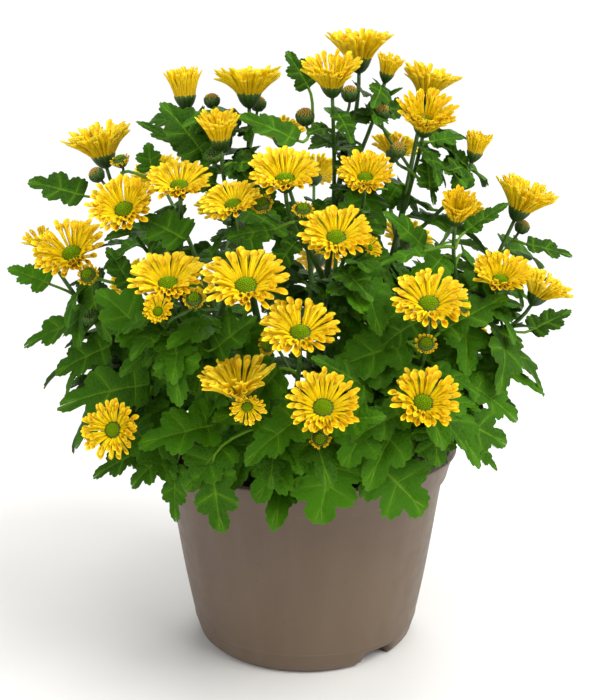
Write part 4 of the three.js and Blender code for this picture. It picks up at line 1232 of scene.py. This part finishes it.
def make_pot():
    band = POT_HEIGHT - BAND_HEIGHT
    foot = [
        (FOOT_RADIUS - FOOT_RING, BASE_HEIGHT), (FOOT_RADIUS - FOOT_RING, 0), (FOOT_RADIUS, 0),
        (FOOT_RADIUS + FOOT_ROUND, FOOT_ROUND), (WALL_FOOT_RADIUS - 0.7, PARTING_HEIGHT - 3),
        (WALL_FOOT_RADIUS, PARTING_HEIGHT - 0.35), (WALL_FOOT_RADIUS + 0.35, PARTING_HEIGHT),
        (WALL_FOOT_RADIUS + 0.15, PARTING_HEIGHT + 0.4),
    ]
    t = np.linspace(0, 1, 14)[1:-1]
    bulge = WALL_BULGE * np.sin(np.pi * t) * (1 - t)
    widens = WALL_TOP_RADIUS - WALL_FOOT_RADIUS
    wall = [
        (WALL_FOOT_RADIUS + widens * k + more, PARTING_HEIGHT + (band - PARTING_HEIGHT) * k)
        for k, more in zip(t, bulge)
    ]
    top = [
        (WALL_TOP_RADIUS, band), (WALL_TOP_RADIUS + BAND_STEP, band + 0.4),
        (RIM_RADIUS - RIM_ROLL, POT_HEIGHT - RIM_LIP), (RIM_RADIUS, POT_HEIGHT - RIM_LIP + 0.3),
        (RIM_RADIUS, POT_HEIGHT), (RIM_RADIUS - RIM_WIDE, POT_HEIGHT),
        (WALL_TOP_RADIUS - WALL, band), (WALL_FOOT_RADIUS - WALL, BASE_HEIGHT + WALL),
        (BASE_RING, BASE_HEIGHT + WALL), (0.5, BASE_HEIGHT + WALL),
    ]
    base = [(0.5, BASE_HEIGHT), (BASE_RING, BASE_HEIGHT)]
    profile = np.array([*base, *rounded([*foot, *wall, *top], POT_ROUND)])
    turn = np.arange(POT_SIDES) * 2 * np.pi / POT_SIDES
    x, y = np.sin(turn), -np.cos(turn)
    r, z = profile[:, 0][:, None], np.repeat(profile[:, 1][:, None], POT_SIDES, axis=1)
    for angle in (NOTCH_ANGLE, NOTCH_ANGLE + 180):
        aside = np.abs((np.degrees(turn) - angle + 180) % 360 - 180)
        aside = np.radians(aside) * FOOT_RADIUS
        roof = NOTCH_HEIGHT * np.clip((NOTCH_WIDTH / 2 - aside) / NOTCH_SLOPE, 0, 1)
        outside = (r > FOOT_RADIUS - FOOT_RING - 1) & (z < PARTING_HEIGHT - 2)
        z = np.where(outside, np.maximum(z, roof[None, :]), z)
    points = np.stack([r * x, r * y, z], axis=-1)
    shape = Shape()
    shape.add(points, grid(len(profile), POT_SIDES, closed=True))
    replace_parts(shape.build("nursery_pot", [POT], "pot_plastic"), "pot")


def make_soil():
    slope = (WALL_TOP_RADIUS - WALL_FOOT_RADIUS) / (POT_HEIGHT - BAND_HEIGHT - BASE_HEIGHT)
    edge = WALL_FOOT_RADIUS + slope * (SOIL_TOP - BASE_HEIGHT) - WALL - 0.4
    shape = Shape()
    share = np.linspace(0.004, 1, SOIL_RINGS)[:, None]
    turn = np.arange(SOIL_SIDES)[None, :] * 2 * np.pi / SOIL_SIDES
    x, y = edge * share * np.cos(turn), edge * share * np.sin(turn)
    z = np.array([
        SOIL_TOP - 1.2 + SWELL * noise.fractal(Vector((a * 0.05, b * 0.05, 3)), 1.0, 2.0, 3)
        + LUMPS * noise.noise(Vector((a * 0.35, b * 0.35, 8)))
        for a, b in zip(x.ravel(), y.ravel())
    ]).reshape(x.shape)
    z = np.where(share > 0.985, SOIL_TOP - 5, z)
    shape.add(np.stack([x, y, z], axis=-1), grid(SOIL_RINGS, SOIL_SIDES, closed=True), tone=0.1)
    for _ in range(CRUMBS):
        far, angle = edge * math.sqrt(random.random()) * 0.97, random.uniform(0, 2 * np.pi)
        size = random.uniform(*CRUMB_SIZE)
        height = SOIL_TOP - 1.2 + random.uniform(-0.5, 0.8)
        at = np.array([far * math.cos(angle), far * math.sin(angle), height])
        crumb = []
        for lat in CRUMB_RINGS:
            a = np.arange(CRUMB_SIDES) * 2 * np.pi / CRUMB_SIDES + lat
            wide = size * random.uniform(0.75, 1.2, CRUMB_SIDES) * math.cos(lat)
            high = np.full(CRUMB_SIDES, 0.7 * size * math.sin(lat))
            crumb.append(np.stack([wide * np.cos(a), 0.8 * wide * np.sin(a), high], axis=-1) + at)
        faces = grid(len(CRUMB_RINGS), CRUMB_SIDES, closed=True)
        shape.add(np.array(crumb), faces, tone=random.random())
    low = BASE_HEIGHT + WALL + GAP
    profile = [(0.5, low), (WALL_FOOT_RADIUS - WALL - 0.8, low), (edge, SOIL_TOP - 4)]
    lathe(shape, np.zeros(3), UP, profile, 120)
    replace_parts(shape.build("soil_fill", [SOIL], "soil"), "soil")


make_pot()
make_soil()


# Floor, light and camera
FLOOR_HALF = 6  # metres
floor = bpy.data.objects.new("floor", bpy.data.meshes.new("floor"))
floor.data.from_pydata(
    [(x * FLOOR_HALF, y * FLOOR_HALF, 0) for x, y in ((-1, -1), (1, -1), (1, 1), (-1, 1))],
    [], [(0, 1, 2, 3)],
)
floor.data.materials.append(FLOOR)
bpy.context.collection.objects.link(floor)

LIT_PLACE = Vector((0, 0, 0.2))
LIGHTS = (
    # name, place in metres, size, power, colour
    ("key", (1.1, -0.8, 1.5), 1.2, 40, (1.0, 0.99, 0.97)),
    ("fill", (-1.3, -1.3, 1.0), 1.5, 10, (0.97, 0.98, 1.0)),
    ("back", (0.2, 1.6, 1.4), 1.4, 20, (1.0, 1.0, 1.0)),
    ("top", (-0.1, -0.1, 2.2), 1.5, 18, (1.0, 1.0, 1.0)),
)
for name, place, size, power, colour in LIGHTS:
    lamp = bpy.data.lights.new(name, "AREA")
    lamp.size, lamp.energy, lamp.color = size, power, colour
    holder = bpy.data.objects.new(name, lamp)
    holder.location = place
    holder.rotation_euler = (LIT_PLACE - Vector(place)).to_track_quat("-Z", "Y").to_euler()
    bpy.context.collection.objects.link(holder)

world = bpy.data.worlds.new("studio")
bpy.context.scene.world = world
world.use_nodes = True
sky = Weave(world.node_tree.nodes, world.node_tree.links)
way = sky.nodes.new("ShaderNodeSeparateXYZ")
sky.links.new(sky.nodes.new("ShaderNodeTexCoord").outputs["Generated"], way.inputs[0])
glow = sky.ramp(way.outputs[2], *STUDIO_RISE, STUDIO_GLOW, STUDIO_TOP)
sky.nodes["Background"].inputs["Color"].default_value = (1, 1, 1, 1)
sky.links.new(glow, sky.nodes["Background"].inputs["Strength"])
bpy.context.scene.view_settings.view_transform = "Standard"

lens = bpy.data.cameras.new("camera")
lens.sensor_width = 36
lens.lens = EYE["focal"] * lens.sensor_width / PICTURE[1]
lens.shift_x = (PICTURE[0] / 2 - EYE["cu"]) / PICTURE[1]
lens.clip_end = 100
camera = bpy.data.objects.new("camera", lens)
camera.location = (0, -EYE["back"] * MM, EYE["height"] * MM)
camera.rotation_euler = (math.radians(90 - EYE["pitch"]), 0, 0)
bpy.context.collection.objects.link(camera)
bpy.context.scene.camera = camera
